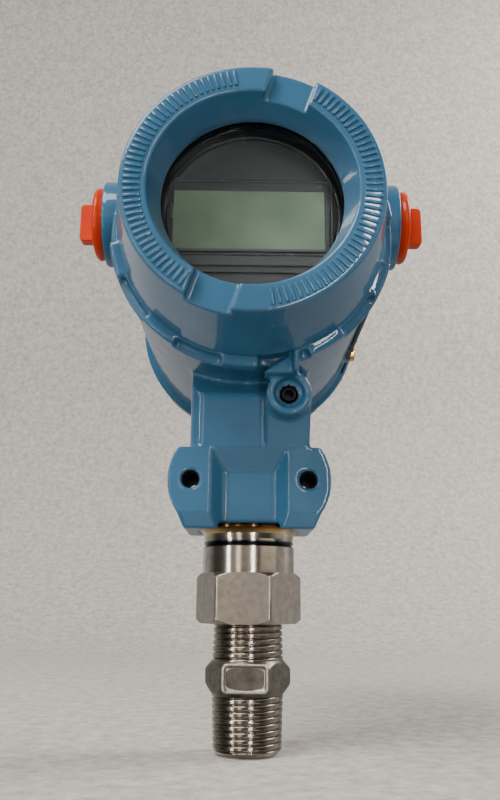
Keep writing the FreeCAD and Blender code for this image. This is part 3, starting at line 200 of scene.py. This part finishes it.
nitrile = plainFinish("nitrileRubber", "#0B0B0B", 0.55, grain=0.3, depth=0.02)
resin = plainFinish("pottingResin", "#0D0D0E", 0.2)
ribbon = plainFinish("flatCablePvc", "#6F7176", 0.45)
phenolic = plainFinish("blackPhenolic", "#131315", 0.38, grain=0.4, depth=0.03)
foilSteel = plainFinish("stainlessFoil", "#C9C4BA", 0.15, 1.0)


def windowGlass():
    # toughened glass: clear, lets the lamps through so that the meter behind it is lit
    material, tree, shader = newMaterial("toughenedGlass", {
        "Base Color": linear("#F7FAF9"), "Roughness": 0.0, "IOR": 1.5,
        "Transmission Weight": 1.0})
    clear = addNode(tree, "ShaderNodeBsdfTransparent", {"Color": linear("#F3F7F6")})
    path = addNode(tree, "ShaderNodeLightPath")
    both = addNode(tree, "ShaderNodeMixShader", links={
        0: path.outputs["Is Shadow Ray"], 1: shader.outputs[0], 2: clear.outputs[0]})
    out = [node for node in tree.nodes if node.type == "OUTPUT_MATERIAL"][0]
    tree.links.new(both.outputs[0], out.inputs["Surface"])
    return material


def lcdCell(patch):
    # unlit liquid-crystal cell behind thin glass: grey-green, faint cloudy patches
    material, tree, shader = newMaterial("liquidCrystalCell", {
        "Roughness": 0.15, "IOR": 1.5, "Specular IOR Level": 0.3})
    place = addNode(tree, "ShaderNodeTexCoord").outputs["Object"]
    cloud = addNode(tree, "ShaderNodeTexNoise", {"Scale": perMetre(patch), "Detail": 3.0},
                    {"Vector": place})
    colour = addNode(tree, "ShaderNodeValToRGB", links={"Fac": cloud.outputs["Fac"]},
                     stops=[(0.3, "#5A6657"), (0.7, "#687361")])
    tree.links.new(colour.outputs[0], shader.inputs["Base Color"])
    return material


# heat tint of the weld neck from its lower to its upper height, with painted shade at both ends:
# the two blue-black bands at the bottom are painted shade in the groove above the collar, and the
# near-black band at the top is painted shadow in the gap under the bracket foot; wander is how
# far a band strays
heatTintAndPaintedShade = {"low": 59.5, "high": 65.4, "patch": 9, "wander": 0.12, "bands": [
    (0.0, "#0C1420"), (0.13, "#26303C"), (0.2, "#A69D8E"), (0.5, "#C9BEA9"), (0.7, "#BE9858"),
    (0.83, "#6E4A26"), (0.94, "#1E1612")]}


def heatTintedSteelWithPaintedShade(tint):
    # straw, gold and brown heat tint that darkens towards the weld, with painted shade as
    # blue-black at the lower edge and near-black at the top
    material, tree, shader = newMaterial("heatTintedStainlessWithPaintedShade",
                                         {"Metallic": 1.0, "Roughness": 0.16})
    place = addNode(tree, "ShaderNodeTexCoord").outputs["Object"]
    wobble = addNode(tree, "ShaderNodeTexNoise",
                     {"Scale": perMetre(tint["patch"]), "Detail": 2.0}, {"Vector": place})
    split = addNode(tree, "ShaderNodeSeparateXYZ", links={"Vector": place})
    middle = tint["wander"] / 2  # the noise averages one half, so the bands stay centred
    height = addNode(tree, "ShaderNodeMapRange", {
        1: tint["low"] * mm, 2: tint["high"] * mm, 3: -middle, 4: 1 - middle},
        {0: split.outputs["Z"]})
    shifted = addNode(tree, "ShaderNodeMath", {"operation": "MULTIPLY_ADD", 1: tint["wander"]},
                      {0: wobble.outputs["Fac"], 2: height.outputs[0]})
    colour = addNode(tree, "ShaderNodeValToRGB", links={"Fac": shifted.outputs[0]},
                     stops=tint["bands"])
    tree.links.new(colour.outputs[0], shader.inputs["Base Color"])
    return material


# nameplate: width of the black band along its lower edge, painted shadow of the gap where the
# plate stands off the body, brush marks across and their slow change along
namePlateWithShadowGap = {"edge": 1.5, "brush": 0.3, "along": 20}


def anodisedPlateWithPaintedShadow(plan):
    # satin anodised sheet, brushed along its length, with a black band of painted shadow along
    # its lower edge
    material, tree, shader = newMaterial("anodisedAluminiumWithPaintedShadow", {"Metallic": 1.0, "Roughness": 0.3})
    place = addNode(tree, "ShaderNodeTexCoord").outputs["Object"]
    fine = perMetre(plan["brush"])
    brush = addNode(tree, "ShaderNodeMapping", {"Scale": (fine, plan["along"], fine)},
                    {"Vector": place})
    line = addNode(tree, "ShaderNodeTexNoise", {"Scale": 1.0, "Detail": 2.0},
                   {"Vector": brush.outputs[0]})
    satin = addNode(tree, "ShaderNodeValToRGB", links={"Fac": line.outputs["Fac"]},
                    stops=[(0.3, "#A9ABAE"), (0.7, "#C3C5C7")])
    split = addNode(tree, "ShaderNodeSeparateXYZ", links={"Vector": place})
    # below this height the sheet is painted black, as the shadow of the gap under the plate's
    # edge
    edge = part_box("nameplate")[0].z + plan["edge"] * mm
    above = addNode(tree, "ShaderNodeMath", {"operation": "GREATER_THAN", 1: edge},
                    {0: split.outputs["Z"]})
    colour = addNode(tree, "ShaderNodeMix", {"data_type": "RGBA", 6: linear("#050506")},
                     {0: above.outputs[0], 7: satin.outputs[0]})
    tree.links.new(colour.outputs[2], shader.inputs["Base Color"])
    tree.links.new(above.outputs[0], shader.inputs["Metallic"])
    return material


def circuitLaminate(cell):
    # green solder mask over copper: faint lighter tracks
    material, tree, shader = newMaterial("solderMaskLaminate", {"Roughness": 0.3, "IOR": 1.5})
    place = addNode(tree, "ShaderNodeTexCoord").outputs["Object"]
    cells = addNode(tree, "ShaderNodeTexVoronoi",
                    {"Scale": perMetre(cell), "feature": "DISTANCE_TO_EDGE"}, {"Vector": place})
    colour = addNode(tree, "ShaderNodeValToRGB", links={"Fac": cells.outputs["Distance"]},
                     stops=[(0.02, "#2E7A45"), (0.06, "#0F4A26")])
    tree.links.new(colour.outputs[0], shader.inputs["Base Color"])
    return material


finishes = {
    "painted_housing": bluePaint, "plug_paint": orangePaint, "stainless": turnedSteel,
    "cast_stainless": castSteel, "zinc_screw": zincScrew, "black_screw": blackScrew,
    "brass": brightBrass, "plate": anodisedPlateWithPaintedShadow(namePlateWithShadowGap), "window": windowGlass(),
    "rubber": nitrile, "gasket": nitrile, "black_plastic": blackAbs, "grey_plastic": darkFilm,
    "lcd": lcdCell(14), "circuit": circuitLaminate(3), "ring_metal": blackAluminium,
    "contact": nickelBrass, "flat_cable": ribbon, "diaphragm": foilSteel, "potting": resin,
    "gold": goldPin,
}
for part in frame["record"]["subparts"]:
    mesh = nodes[part["node"]].data
    mesh.materials.clear()
    mesh.materials.append(finishes[part["material_slot"]])
nodes["sensor_body"].data.materials[0] = heatTintedSteelWithPaintedShade(heatTintAndPaintedShade)
nodes["terminal_block"].data.materials[0] = phenolic
print("materials set")


# making pieces
def addPiece(name, mesh, body, material, replaced=()):
    piece = bpy.data.objects.new(name, mesh)
    bpy.context.scene.collection.objects.link(piece)
    mesh.materials.clear()
    mesh.materials.append(material)
    for face in mesh.polygons:
        face.use_smooth = True
    if replaced:
        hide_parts(*replaced)
    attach(piece, body)
    return piece


def meshOf(solid, name):
    mesh = bpy.data.meshes.new(name)
    solid.to_mesh(mesh)
    solid.free()
    return mesh


def nodeCopy(name):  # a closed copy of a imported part's mesh
    copy = bmesh.new()
    copy.from_mesh(nodes[name].data)
    bmesh.ops.remove_doubles(copy, verts=copy.verts, dist=1e-6)
    return copy


def modified(name, mesh, *steps):  # the mesh after a few modifiers, each a type and its settings
    holder = bpy.data.objects.new(name, mesh)
    bpy.context.scene.collection.objects.link(holder)
    for kind, settings in steps:
        step = holder.modifiers.new(kind.lower(), kind)
        for key, value in settings.items():
            setattr(step, key, value)
    bpy.context.view_layer.update()
    changed = holder.evaluated_get(bpy.context.evaluated_depsgraph_get())
    made = bpy.data.meshes.new_from_object(changed)
    bpy.data.objects.remove(holder)
    made.name = name
    return made


def paintedSkin(name, solid, grid, rounds, most):
    # a casting under paint: rebuilt on a fine grid, then eased so that no edge stays sharp
    skin = modified(name + "Grid", meshOf(solid, name + "Solid"),
                    ("REMESH", {"mode": "VOXEL", "voxel_size": grid * mm}),
                    ("SMOOTH", {"factor": 0.5, "iterations": rounds}))
    count = sum(len(face.vertices) - 2 for face in skin.polygons)
    if count > most:
        skin = modified(name + "Thin", skin, ("DECIMATE", {"ratio": most / count}))
    skin.name = name
    print(name, "made,", count, "triangles before thinning")
    return skin


# painted castings: grid size, rounds of easing and the most triangles to keep
housing = {"grid": 0.6, "rounds": 4, "most": 190000}
casting = addPiece("housingCasting",
                   paintedSkin("housingCasting", nodeCopy("housing"), **housing),
                   "transmitter", bluePaint, ["housing"])

# the tapped holes were machined after painting, so their walls are bare; their near-black colour
# is painted shade for the dark inside of the deep holes
bores = [{"x": -17.65, "z": 78.2, "radius": 2.75, "reach": 15.9},
         {"x": 17.65, "z": 78.2, "radius": 2.75, "reach": 15.9},
         {"x": 11.4, "z": 102.2, "radius": 2.9, "reach": 60}]
casting.data.materials.append(tappedBoreShade)
for face in casting.data.polygons:
    at = face.center / mm
    for bore in bores:
        away = math.hypot(at.x - bore["x"], at.z - bore["z"])
        if away < bore["radius"] and abs(at.y) < bore["reach"]:
            face.material_index = 1

# raised grip ribs stand in two arcs round the cover ring, between the wrench slots
coverRibs = {"inner": 30.1, "outer": 34.6, "wide": 0.85, "high": 0.5, "pitch": 3.1, "round": 0.16,
             "arcs": [(33, 171), (213, 351)]}  # degrees clockwise from the top


def ribMesh(plan):
    solid = bmesh.new()
    middle = Vector((0, ringY, headZ))
    long = plan["outer"] - plan["inner"]
    sink = Vector((0, plan["high"] * mm, 0))
    for start, stop in plan["arcs"]:
        count = int((stop - start) / plan["pitch"]) + 1
        for k in range(count):
            angle = math.radians(start + (stop - start) * k / (count - 1))
            out = Vector((math.sin(angle), 0, math.cos(angle)))
            at = middle + out * (plan["inner"] + long / 2) * mm + sink
            size = Matrix.Diagonal((plan["wide"] * mm, 2 * plan["high"] * mm, long * mm, 1))
            place = Matrix.Translation(at) @ Matrix.Rotation(angle, 4, "Y") @ size
            bmesh.ops.create_cube(solid, size=1, matrix=place)
    bmesh.ops.bevel(solid, geom=solid.edges[:], offset=plan["round"] * mm, segments=2,
                    affect="EDGES", profile=0.5)
    return meshOf(solid, "coverRibs")


frontCover = {"grid": 0.45, "rounds": 3, "most": 195000}
solid = nodeCopy("front_cover")
for vert in solid.verts:  # the ring face sits back so that the ribs end at the cover's own front
    vert.co.y = max(vert.co.y, ringY + coverRibs["high"] * mm)
addPiece("frontCoverCasting", paintedSkin("frontCoverCasting", solid, **frontCover),
         "front_cap", bluePaint, ["front_cover"])
addPiece("coverRibs", ribMesh(coverRibs), "front_cap", bluePaint,
         ["front_cover"])
rearCover = {"grid": 0.6, "rounds": 3, "most": 120000}
addPiece("rearCoverCasting",
         paintedSkin("rearCoverCasting", nodeCopy("rear_cover"), **rearCover),
         "rear_cap", bluePaint, ["rear_cover"])
plug = {"grid": 0.35, "rounds": 3, "most": 60000}
for side in ("left", "right"):
    node = side + "_conduit_plug"
    name = side + "PlugMoulding"
    addPiece(name, paintedSkin(name, nodeCopy(node), **plug), side + "_plug",
             orangePaint, [node])
print("castings and plugs made")


# display meter: hood outline as (radius, depth behind the plate's front), grooves as heights
# below the display axis
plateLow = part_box("display_faceplate")[0]
meter = {"hood": [(24.5, 0.75), (24.7, 0.25), (25.3, 0.02), (26.0, 0.0), (27.4, 0.25),
                  (28.3, 0.7), (28.5, 1.3)],
         "grooves": [(11.2, 12.5), (15.4, 16.6)], "grooveDeep": 0.6, "grooveLong": 60,
         "edge": 0.22}
frameRim = {"wide": 46.6, "tall": 23.6, "rim": 0.7, "proud": 0.35, "corner": 1.6, "face": 41.23,
            "middle": 149.6, "turn": 0, "floor": False}


def latheMesh(name, outline, columns=160):  # a closed ring turned about the display axis
    solid = bmesh.new()
    rings = []
    for radius, depth in outline:
        rings.append([solid.verts.new((radius * mm * math.sin(2 * math.pi * k / columns),
                                       plateLow.y + depth * mm,
                                       headZ + radius * mm * math.cos(2 * math.pi * k / columns)))
                      for k in range(columns)])
    for here, there in zip(rings, rings[1:] + rings[:1]):
        for k in range(columns):
            solid.faces.new((here[k], here[k - 1], there[k - 1], there[k]))
    bmesh.ops.recalc_face_normals(solid, faces=solid.faces)
    return meshOf(solid, name)


def grooveCutter(plan):  # two level grooves across the plate below the display
    solid = bmesh.new()
    for top, bottom in plan["grooves"]:
        at = Vector((0, plateLow.y, headZ - (top + bottom) / 2 * mm))
        size = Matrix.Diagonal((plan["grooveLong"] * mm, 2 * plan["grooveDeep"] * mm,
                                (bottom - top) * mm, 1))
        bmesh.ops.create_cube(solid, size=1, matrix=Matrix.Translation(at) @ size)
    return meshOf(solid, "grooveCutter")


def rimMesh(name, plan):
    # a raised rounded rim round a rectangle; with a floor where the plan has one
    solid = bmesh.new()
    # section of the rim: share of its width inwards, share of its height outwards
    section = [(0, -0.2), (0, 0.6), (0.25, 1.0), (0.75, 1.0), (1, 0.6), (1, 0.0)]
    section += [(1.8, -0.05)] if plan["floor"] else [(1, -0.2)]
    rings = []
    for inward, rise in section:
        shrink = inward * plan["rim"]
        halfWide = plan["wide"] / 2 - shrink
        halfTall = plan["tall"] / 2 - shrink
        corner = max(plan["corner"] - shrink * 0.6, 0.2)
        ring = []
        for quarter, (sx, sz) in enumerate([(1, 1), (-1, 1), (-1, -1), (1, -1)]):
            for k in range(7):
                angle = math.radians(quarter * 90 + k * 15)
                ring.append((sx * (halfWide - corner) + corner * math.cos(angle),
                             sz * (halfTall - corner) + corner * math.sin(angle)))
        rings.append([solid.verts.new((x * mm, -(plan["face"] + rise * plan["proud"]) * mm,
                                       (plan["middle"] + z) * mm)) for x, z in ring])
    for here, there in zip(rings, rings[1:] + ([] if plan["floor"] else rings[:1])):
        for k in range(len(here)):
            solid.faces.new((here[k - 1], here[k], there[k], there[k - 1]))
    if plan["floor"]:
        solid.faces.new(rings[-1])
    bmesh.ops.recalc_face_normals(solid, faces=solid.faces)
    solid.transform(Matrix.Rotation(math.radians(plan["turn"]), 4, "Z"))
    return meshOf(solid, name)


cutter = bpy.data.objects.new("grooveCutter", grooveCutter(meter))
bpy.context.scene.collection.objects.link(cutter)
plateMesh = modified(
    "meterFaceplate", meshOf(nodeCopy("display_faceplate"), "plateSolid"),
    ("BOOLEAN", {"object": cutter, "operation": "DIFFERENCE", "solver": "EXACT"}),
    ("BEVEL", {"width": meter["edge"] * mm, "segments": 2, "limit_method": "ANGLE"}))
bpy.data.objects.remove(cutter)
plate = addPiece("meterFaceplate", plateMesh, "transmitter", darkFilm,
                 ["display_faceplate"])
for face in plate.data.polygons:
    face.use_smooth = False
addPiece("meterHood", latheMesh("meterHood", meter["hood"]), "transmitter",
         blackAbs)
addPiece("meterFrameRim", rimMesh("meterFrameRim", frameRim), "transmitter",
         rimPlastic, ["display_faceplate"])
print("meter made")


# stainless nipple: two pipe threads, a cast hexagon with cones above and below, a through bore
nipple = {"pitch": 1.814, "radius": 10.14, "taper": 0.03125, "deep": 0.6, "crest": 0.56,
          "lead": 1.0, "leadSlope": 0.9, "hexLow": 17.2, "hexHigh": 25.4, "top": 45.4,
          "bore": 6.4, "boreWall": 9.0, "hexWall": 9.2, "flats": 22.4, "corner": 13.05,
          "turn": -4, "blend": 0.2, "rows": 48,
          "coneLow": 15.9, "coneLowRadius": 10.45, "coneLowSlope": 0.75,
          "coneHigh": 26.5, "coneHighRadius": 10.15, "coneHighSlope": 0.9}
panel = {"wide": 13.6, "tall": 8.3, "rim": 0.85, "proud": 0.42, "corner": 1.5, "face": 11.2,
         "middle": 21.3, "turn": -4, "floor": True}


def helixMesh(name, low, high, radiusAt, pitch, columns=144):
    # a screw thread as one lattice whose rows climb one pitch in a turn
    solid = bmesh.new()
    profile = [0, 0.05, 0.1, 0.15, 0.22, 0.36, 0.5, 0.64, 0.78, 0.85, 0.9, 0.95]
    first = math.floor(low / pitch) - 1
    last = math.ceil(high / pitch) + 1
    steps = [turn + part for turn in range(first, last) for part in profile]
    lattice = []
    for j in range(columns + 1):
        angle = 2 * math.pi * j / columns
        column = []
        for step in steps:
            z = min(max((step + j / columns) * pitch, low), high)
            radius = radiusAt(z, step % 1.0)
            column.append(solid.verts.new((radius * math.cos(angle) * mm,
                                           radius * math.sin(angle) * mm, z * mm)))
        lattice.append(column)
    for here, there in zip(lattice, lattice[1:]):
        for i in range(len(steps) - 1):
            solid.faces.new((here[i], there[i], there[i + 1], here[i + 1]))
    bmesh.ops.remove_doubles(solid, verts=solid.verts, dist=1e-6)
    return meshOf(solid, name)


def radialMesh(name, heights, radiusAt, inner, columns=192):
    # a closed wall round Z whose outer radius may change with the angle
    solid = bmesh.new()
    turns = [2 * math.pi * j / columns for j in range(columns)]
    rings = []
    for z in heights:
        rings.append([solid.verts.new((radiusAt(z, turn) * math.cos(turn) * mm,
                                       radiusAt(z, turn) * math.sin(turn) * mm,
                                       z * mm)) for turn in turns])
    for z in (heights[-1], heights[0]):
        rings.append([solid.verts.new((inner * math.cos(turn) * mm, inner * math.sin(turn) * mm,
                                       z * mm)) for turn in turns])
    for here, there in zip(rings, rings[1:] + rings[:1]):
        for j in range(columns):
            solid.faces.new((here[j], here[j - 1], there[j - 1], there[j]))
    bmesh.ops.recalc_face_normals(solid, faces=solid.faces)
    return meshOf(solid, name)


def ridge(phase):  # 0 at the broad crest, 1 at the narrow root of a worn pipe thread
    away = (abs(phase - 0.5) * 2 - nipple["crest"]) / (1 - nipple["crest"])
    away = min(max(away, 0), 1)
    return away * away * (3 - 2 * away)


def softMin(values, blend):  # smallest of several radii with a rounded corner between them
    return -blend * math.log(sum(math.exp(-value / blend) for value in values))


def flatRadius(angle, flats, turn):  # radius of a hexagon whose flat faces -Y, then turned
    away = (math.degrees(angle) - turn + 30) % 60 - 30
    return flats / 2 / math.cos(math.radians(30 - abs(away)))


def lowerRadius(z, phase):
    grow = nipple["radius"] + z * nipple["taper"] - nipple["deep"] * ridge(phase)
    return min(grow, nipple["radius"] - nipple["lead"] + z * nipple["leadSlope"])


def upperRadius(z, phase):
    up = nipple["hexLow"] + nipple["hexHigh"] - z
    return nipple["radius"] + up * nipple["taper"] - nipple["deep"] * ridge(phase)


def nippleHexRadius(z, angle):
    flat = flatRadius(angle, nipple["flats"], nipple["turn"])
    below = nipple["coneLowRadius"] + (z - nipple["coneLow"]) * nipple["coneLowSlope"]
    above = nipple["coneHighRadius"] + (nipple["coneHigh"] - z) * nipple["coneHighSlope"]
    return softMin([flat, nipple["corner"], below, above], nipple["blend"])


nippleHeights = [nipple["coneLow"] + (nipple["coneHigh"] - nipple["coneLow"]) * k / nipple["rows"]
                 for k in range(nipple["rows"] + 1)]
addPiece("nippleLowerThread",
         helixMesh("nippleLowerThread", 0, nipple["hexLow"], lowerRadius, nipple["pitch"]),
         "transmitter", threadSteel, ["hex_nipple"])
addPiece("nippleUpperThread",
         helixMesh("nippleUpperThread", nipple["hexHigh"], nipple["top"], upperRadius,
                   nipple["pitch"]),
         "transmitter", threadSteel, ["hex_nipple"])
addPiece("nippleHexagon",
         radialMesh("nippleHexagon", nippleHeights, nippleHexRadius, nipple["hexWall"]),
         "transmitter", castSteel, ["hex_nipple"])
addPiece("nipplePanel", rimMesh("nipplePanel", panel), "transmitter",
         panelSteel, ["hex_nipple"])
addPiece("nippleBore",
         radialMesh("nippleBore", [0, nipple["top"]], lambda z, angle: nipple["boreWall"],
                    nipple["bore"], 96),
         "transmitter", turnedSteel, ["hex_nipple"])
print("nipple made")

# process connector: hexagon milled on bar, turned collar above it, socket for the nipple below;
# the hexagon's corners are chamfered over a band at both ends, and rows are its mesh heights
connector = {"low": 36.4, "collar": 51.2, "top": 59.44, "flats": 28.2, "corner": 16.12,
             "turn": -6.5, "radius": 14.08, "chamfer": 0.6, "socket": 10.3, "blend": 0.06,
             "cornerDrop": 1.5, "cornerSlope": 1.2, "band": 1.4, "row": 0.2, "rows": 8,
             "sharp": 28, "columns": 720}


def connectorRadius(z, angle):
    if z > connector["collar"]:
        return min(connector["radius"],
                   connector["radius"] - connector["chamfer"] + connector["top"] - z)
    end = min(z - connector["low"], connector["collar"] - z)
    flat = flatRadius(angle, connector["flats"], connector["turn"])
    chamfer = connector["corner"] - connector["cornerDrop"] + end * connector["cornerSlope"]
    return softMin([flat, connector["corner"], chamfer], connector["blend"])


connectorHeights = [connector["low"] + k * connector["row"] for k in range(connector["rows"])]
connectorHeights += [connector["collar"] - connector["band"] + k * connector["row"]
                     for k in range(connector["rows"])]
connectorHeights += [connector["collar"] + 0.001]  # the step to the collar
connectorHeights += [connector["top"] - 0.6, connector["top"] - 0.4, connector["top"] - 0.2,
                     connector["top"]]
bar = addPiece("connectorBar",
               radialMesh("connectorBar", connectorHeights, connectorRadius,
                          connector["socket"], connector["columns"]),
               "transmitter", milledSteel, ["process_connector"])
bar.data.materials.append(turnedSteel)
for face in bar.data.polygons:
    face.material_index = 1 if face.center.z > connector["collar"] * mm else 0
bar.data.set_sharp_from_angle(angle=math.radians(connector["sharp"]))
print("connector made")


# pale sheet under and behind the part, in metres: its edges, and the bend where it rises
sheet = {"side": 2.5, "near": -2.5, "bend": 0.42, "radius": 0.35, "top": 2.2, "sunk": 0.0006,
         "grain": 6}


def addStage(plan):
    # polyethylene foam: matt, mottled, its cells drawn coarse enough to show
    material, tree, shader = newMaterial("paleFoamSheet", {"Roughness": 0.75, "IOR": 1.4})
    place = addNode(tree, "ShaderNodeTexCoord").outputs["Object"]
    grain = addNode(tree, "ShaderNodeTexNoise",
                    {"Scale": perMetre(plan["grain"]), "Detail": 6.0, "Roughness": 0.8},
                    {"Vector": place})
    colour = addNode(tree, "ShaderNodeValToRGB", links={"Fac": grain.outputs["Fac"]},
                     stops=[(0.35, "#A59D93"), (0.65, "#D2CBC2")])
    tree.links.new(colour.outputs[0], shader.inputs["Base Color"])
    relief = addNode(tree, "ShaderNodeBump", {"Strength": 0.4, "Distance": 1.0 * mm},
                     {"Height": grain.outputs["Fac"]})
    tree.links.new(relief.outputs[0], shader.inputs["Normal"])
    sweep = bmesh.new()
    outline = [(plan["near"], 0.0), (plan["bend"], 0.0)]
    for step in range(6, 91, 6):
        angle = math.radians(step)
        outline.append((plan["bend"] + plan["radius"] * math.sin(angle),
                        plan["radius"] - plan["radius"] * math.cos(angle)))
    outline.append((plan["bend"] + plan["radius"], plan["top"]))
    rows = [[sweep.verts.new((x, y, z - plan["sunk"])) for x in (-plan["side"], plan["side"])]
            for y, z in outline]
    for here, there in zip(rows, rows[1:]):
        sweep.faces.new((here[0], here[1], there[1], there[0]))
    mesh = meshOf(sweep, "foamSweep")
    mesh.materials.append(material)
    for face in mesh.polygons:
        face.use_smooth = True
    floor = bpy.data.objects.new("foamSweep", mesh)
    bpy.context.scene.collection.objects.link(floor)
    # gloss paint and bright steel reflect the room and not the sheet, and the low lamp
    # reaches the part through it
    floor.visible_glossy = False
    floor.visible_diffuse = False
    floor.visible_shadow = False


# soft room: even grey behind the sheet, and for reflections brighter towards one side; glow is
# the strength from the side away from bright to the side along it
studioRoom = {"tint": "#E9E6E2", "behind": 0.5, "bright": (0.35, 0.94, 0.0), "glow": [
    (0.36, 0.08), (0.5, 0.35), (0.58, 0.5), (0.75, 0.6), (0.81, 1.0), (0.93, 0.42)]}


def addRoom(plan):
    world = bpy.data.worlds.new("studio")
    world.use_nodes = True
    room = world.node_tree
    room.nodes.clear()
    way = addNode(room, "ShaderNodeTexCoord").outputs["Generated"]
    facing = addNode(room, "ShaderNodeVectorMath",
                     {"operation": "DOT_PRODUCT", 1: plan["bright"]}, {0: way})
    half = addNode(room, "ShaderNodeMath", {"operation": "MULTIPLY_ADD", 1: 0.5, 2: 0.5},
                   {0: facing.outputs["Value"]})
    glow = addNode(room, "ShaderNodeValToRGB", links={"Fac": half.outputs[0]},
                   stops=plan["glow"])
    tint = linear(plan["tint"])
    lit = addNode(room, "ShaderNodeBackground", {"Color": tint}, {"Strength": glow.outputs[0]})
    even = addNode(room, "ShaderNodeBackground", {"Color": tint, "Strength": plan["behind"]})
    path = addNode(room, "ShaderNodeLightPath")
    both = addNode(room, "ShaderNodeMixShader", links={
        0: path.outputs["Is Camera Ray"], 1: lit.outputs[0], 2: even.outputs[0]})
    addNode(room, "ShaderNodeOutputWorld", links={"Surface": both.outputs[0]})
    bpy.context.scene.world = world


# area lamps: place and target in metres, size in metres, power in watts
lamps = {
    "leftSoftbox": ((-0.5, -0.6, 1.05), (0, 0.05, 0.1), (0.7, 0.6), 17, "#FFFFFF"),
    "backdropWash": ((0.9, 0.25, 0.85), (0.4, 0.8, 0.0), (0.5, 0.5), 14, "#FFFFFF"),
    "leftTube": ((-0.86, -0.7, 0.1), (0, 0, 0.06), (0.03, 1.2), 5, "#FFFFFF"),
    "middleTube": ((-0.47, -1.0, 0.1), (0, 0, 0.06), (0.16, 1.2), 1.5, "#FFF1DF"),
    "rightTube": ((0.21, -1.08, 0.1), (0, 0, 0.06), (0.03, 1.2), 5, "#FFFFFF"),
    "rightCard": ((0.77, -0.64, 0.3), (0, 0, 0.06), (0.8, 0.45), 0.9, "#FFF3E2"),
    "lowFill": ((0.15, -0.5, -0.45), (0, 0, 0.14), (0.6, 0.4), 0.6, "#FFFFFF"),
    "frontCard": ((-0.35, -1.15, 0.24), (0, 0, 0.06), (1.0, 0.36), 0.36, "#FFF8F0"),
}


def addLamp(name, place, target, size, power, tint):
    lamp = bpy.data.lights.new(name, "AREA")
    lamp.shape = "RECTANGLE"
    lamp.size, lamp.size_y = size
    lamp.energy = power
    lamp.color = linear(tint)[:3]
    holder = bpy.data.objects.new(name, lamp)
    holder.location = place
    aim = Vector(target) - Vector(place)
    holder.rotation_euler = aim.to_track_quat("-Z", "Y").to_euler()
    bpy.context.scene.collection.objects.link(holder)


# place in millimetres, roll in degrees
camera = {"place": (-1.52, -252.12, 42.36), "forward": (0.01065, 0.96926, 0.24581), "roll": 0.40,
          "lens": 57.37, "shift": (-0.0072, 0.0023)}


def addCamera(settings):
    data = bpy.data.cameras.new("camera")
    data.sensor_fit = "HORIZONTAL"
    data.sensor_width = 36
    data.lens = settings["lens"]
    data.shift_x, data.shift_y = settings["shift"]
    data.clip_start = 0.01
    holder = bpy.data.objects.new("camera", data)
    forward = Vector(settings["forward"]).normalized()
    right = forward.cross(Vector((0, 0, 1))).normalized()
    up = right.cross(forward)
    turn = math.radians(settings["roll"])
    across = right * math.cos(turn) + up * math.sin(turn)
    above = up * math.cos(turn) - right * math.sin(turn)
    pose = Matrix((across, above, -forward)).transposed().to_4x4()
    pose.translation = Vector(settings["place"]) * mm
    holder.matrix_world = pose
    bpy.context.scene.collection.objects.link(holder)
    bpy.context.scene.camera = holder


addStage(sheet)
addRoom(studioRoom)
for name, settings in lamps.items():
    addLamp(name, *settings)
addCamera(camera)
print("stage, lamps and camera set")
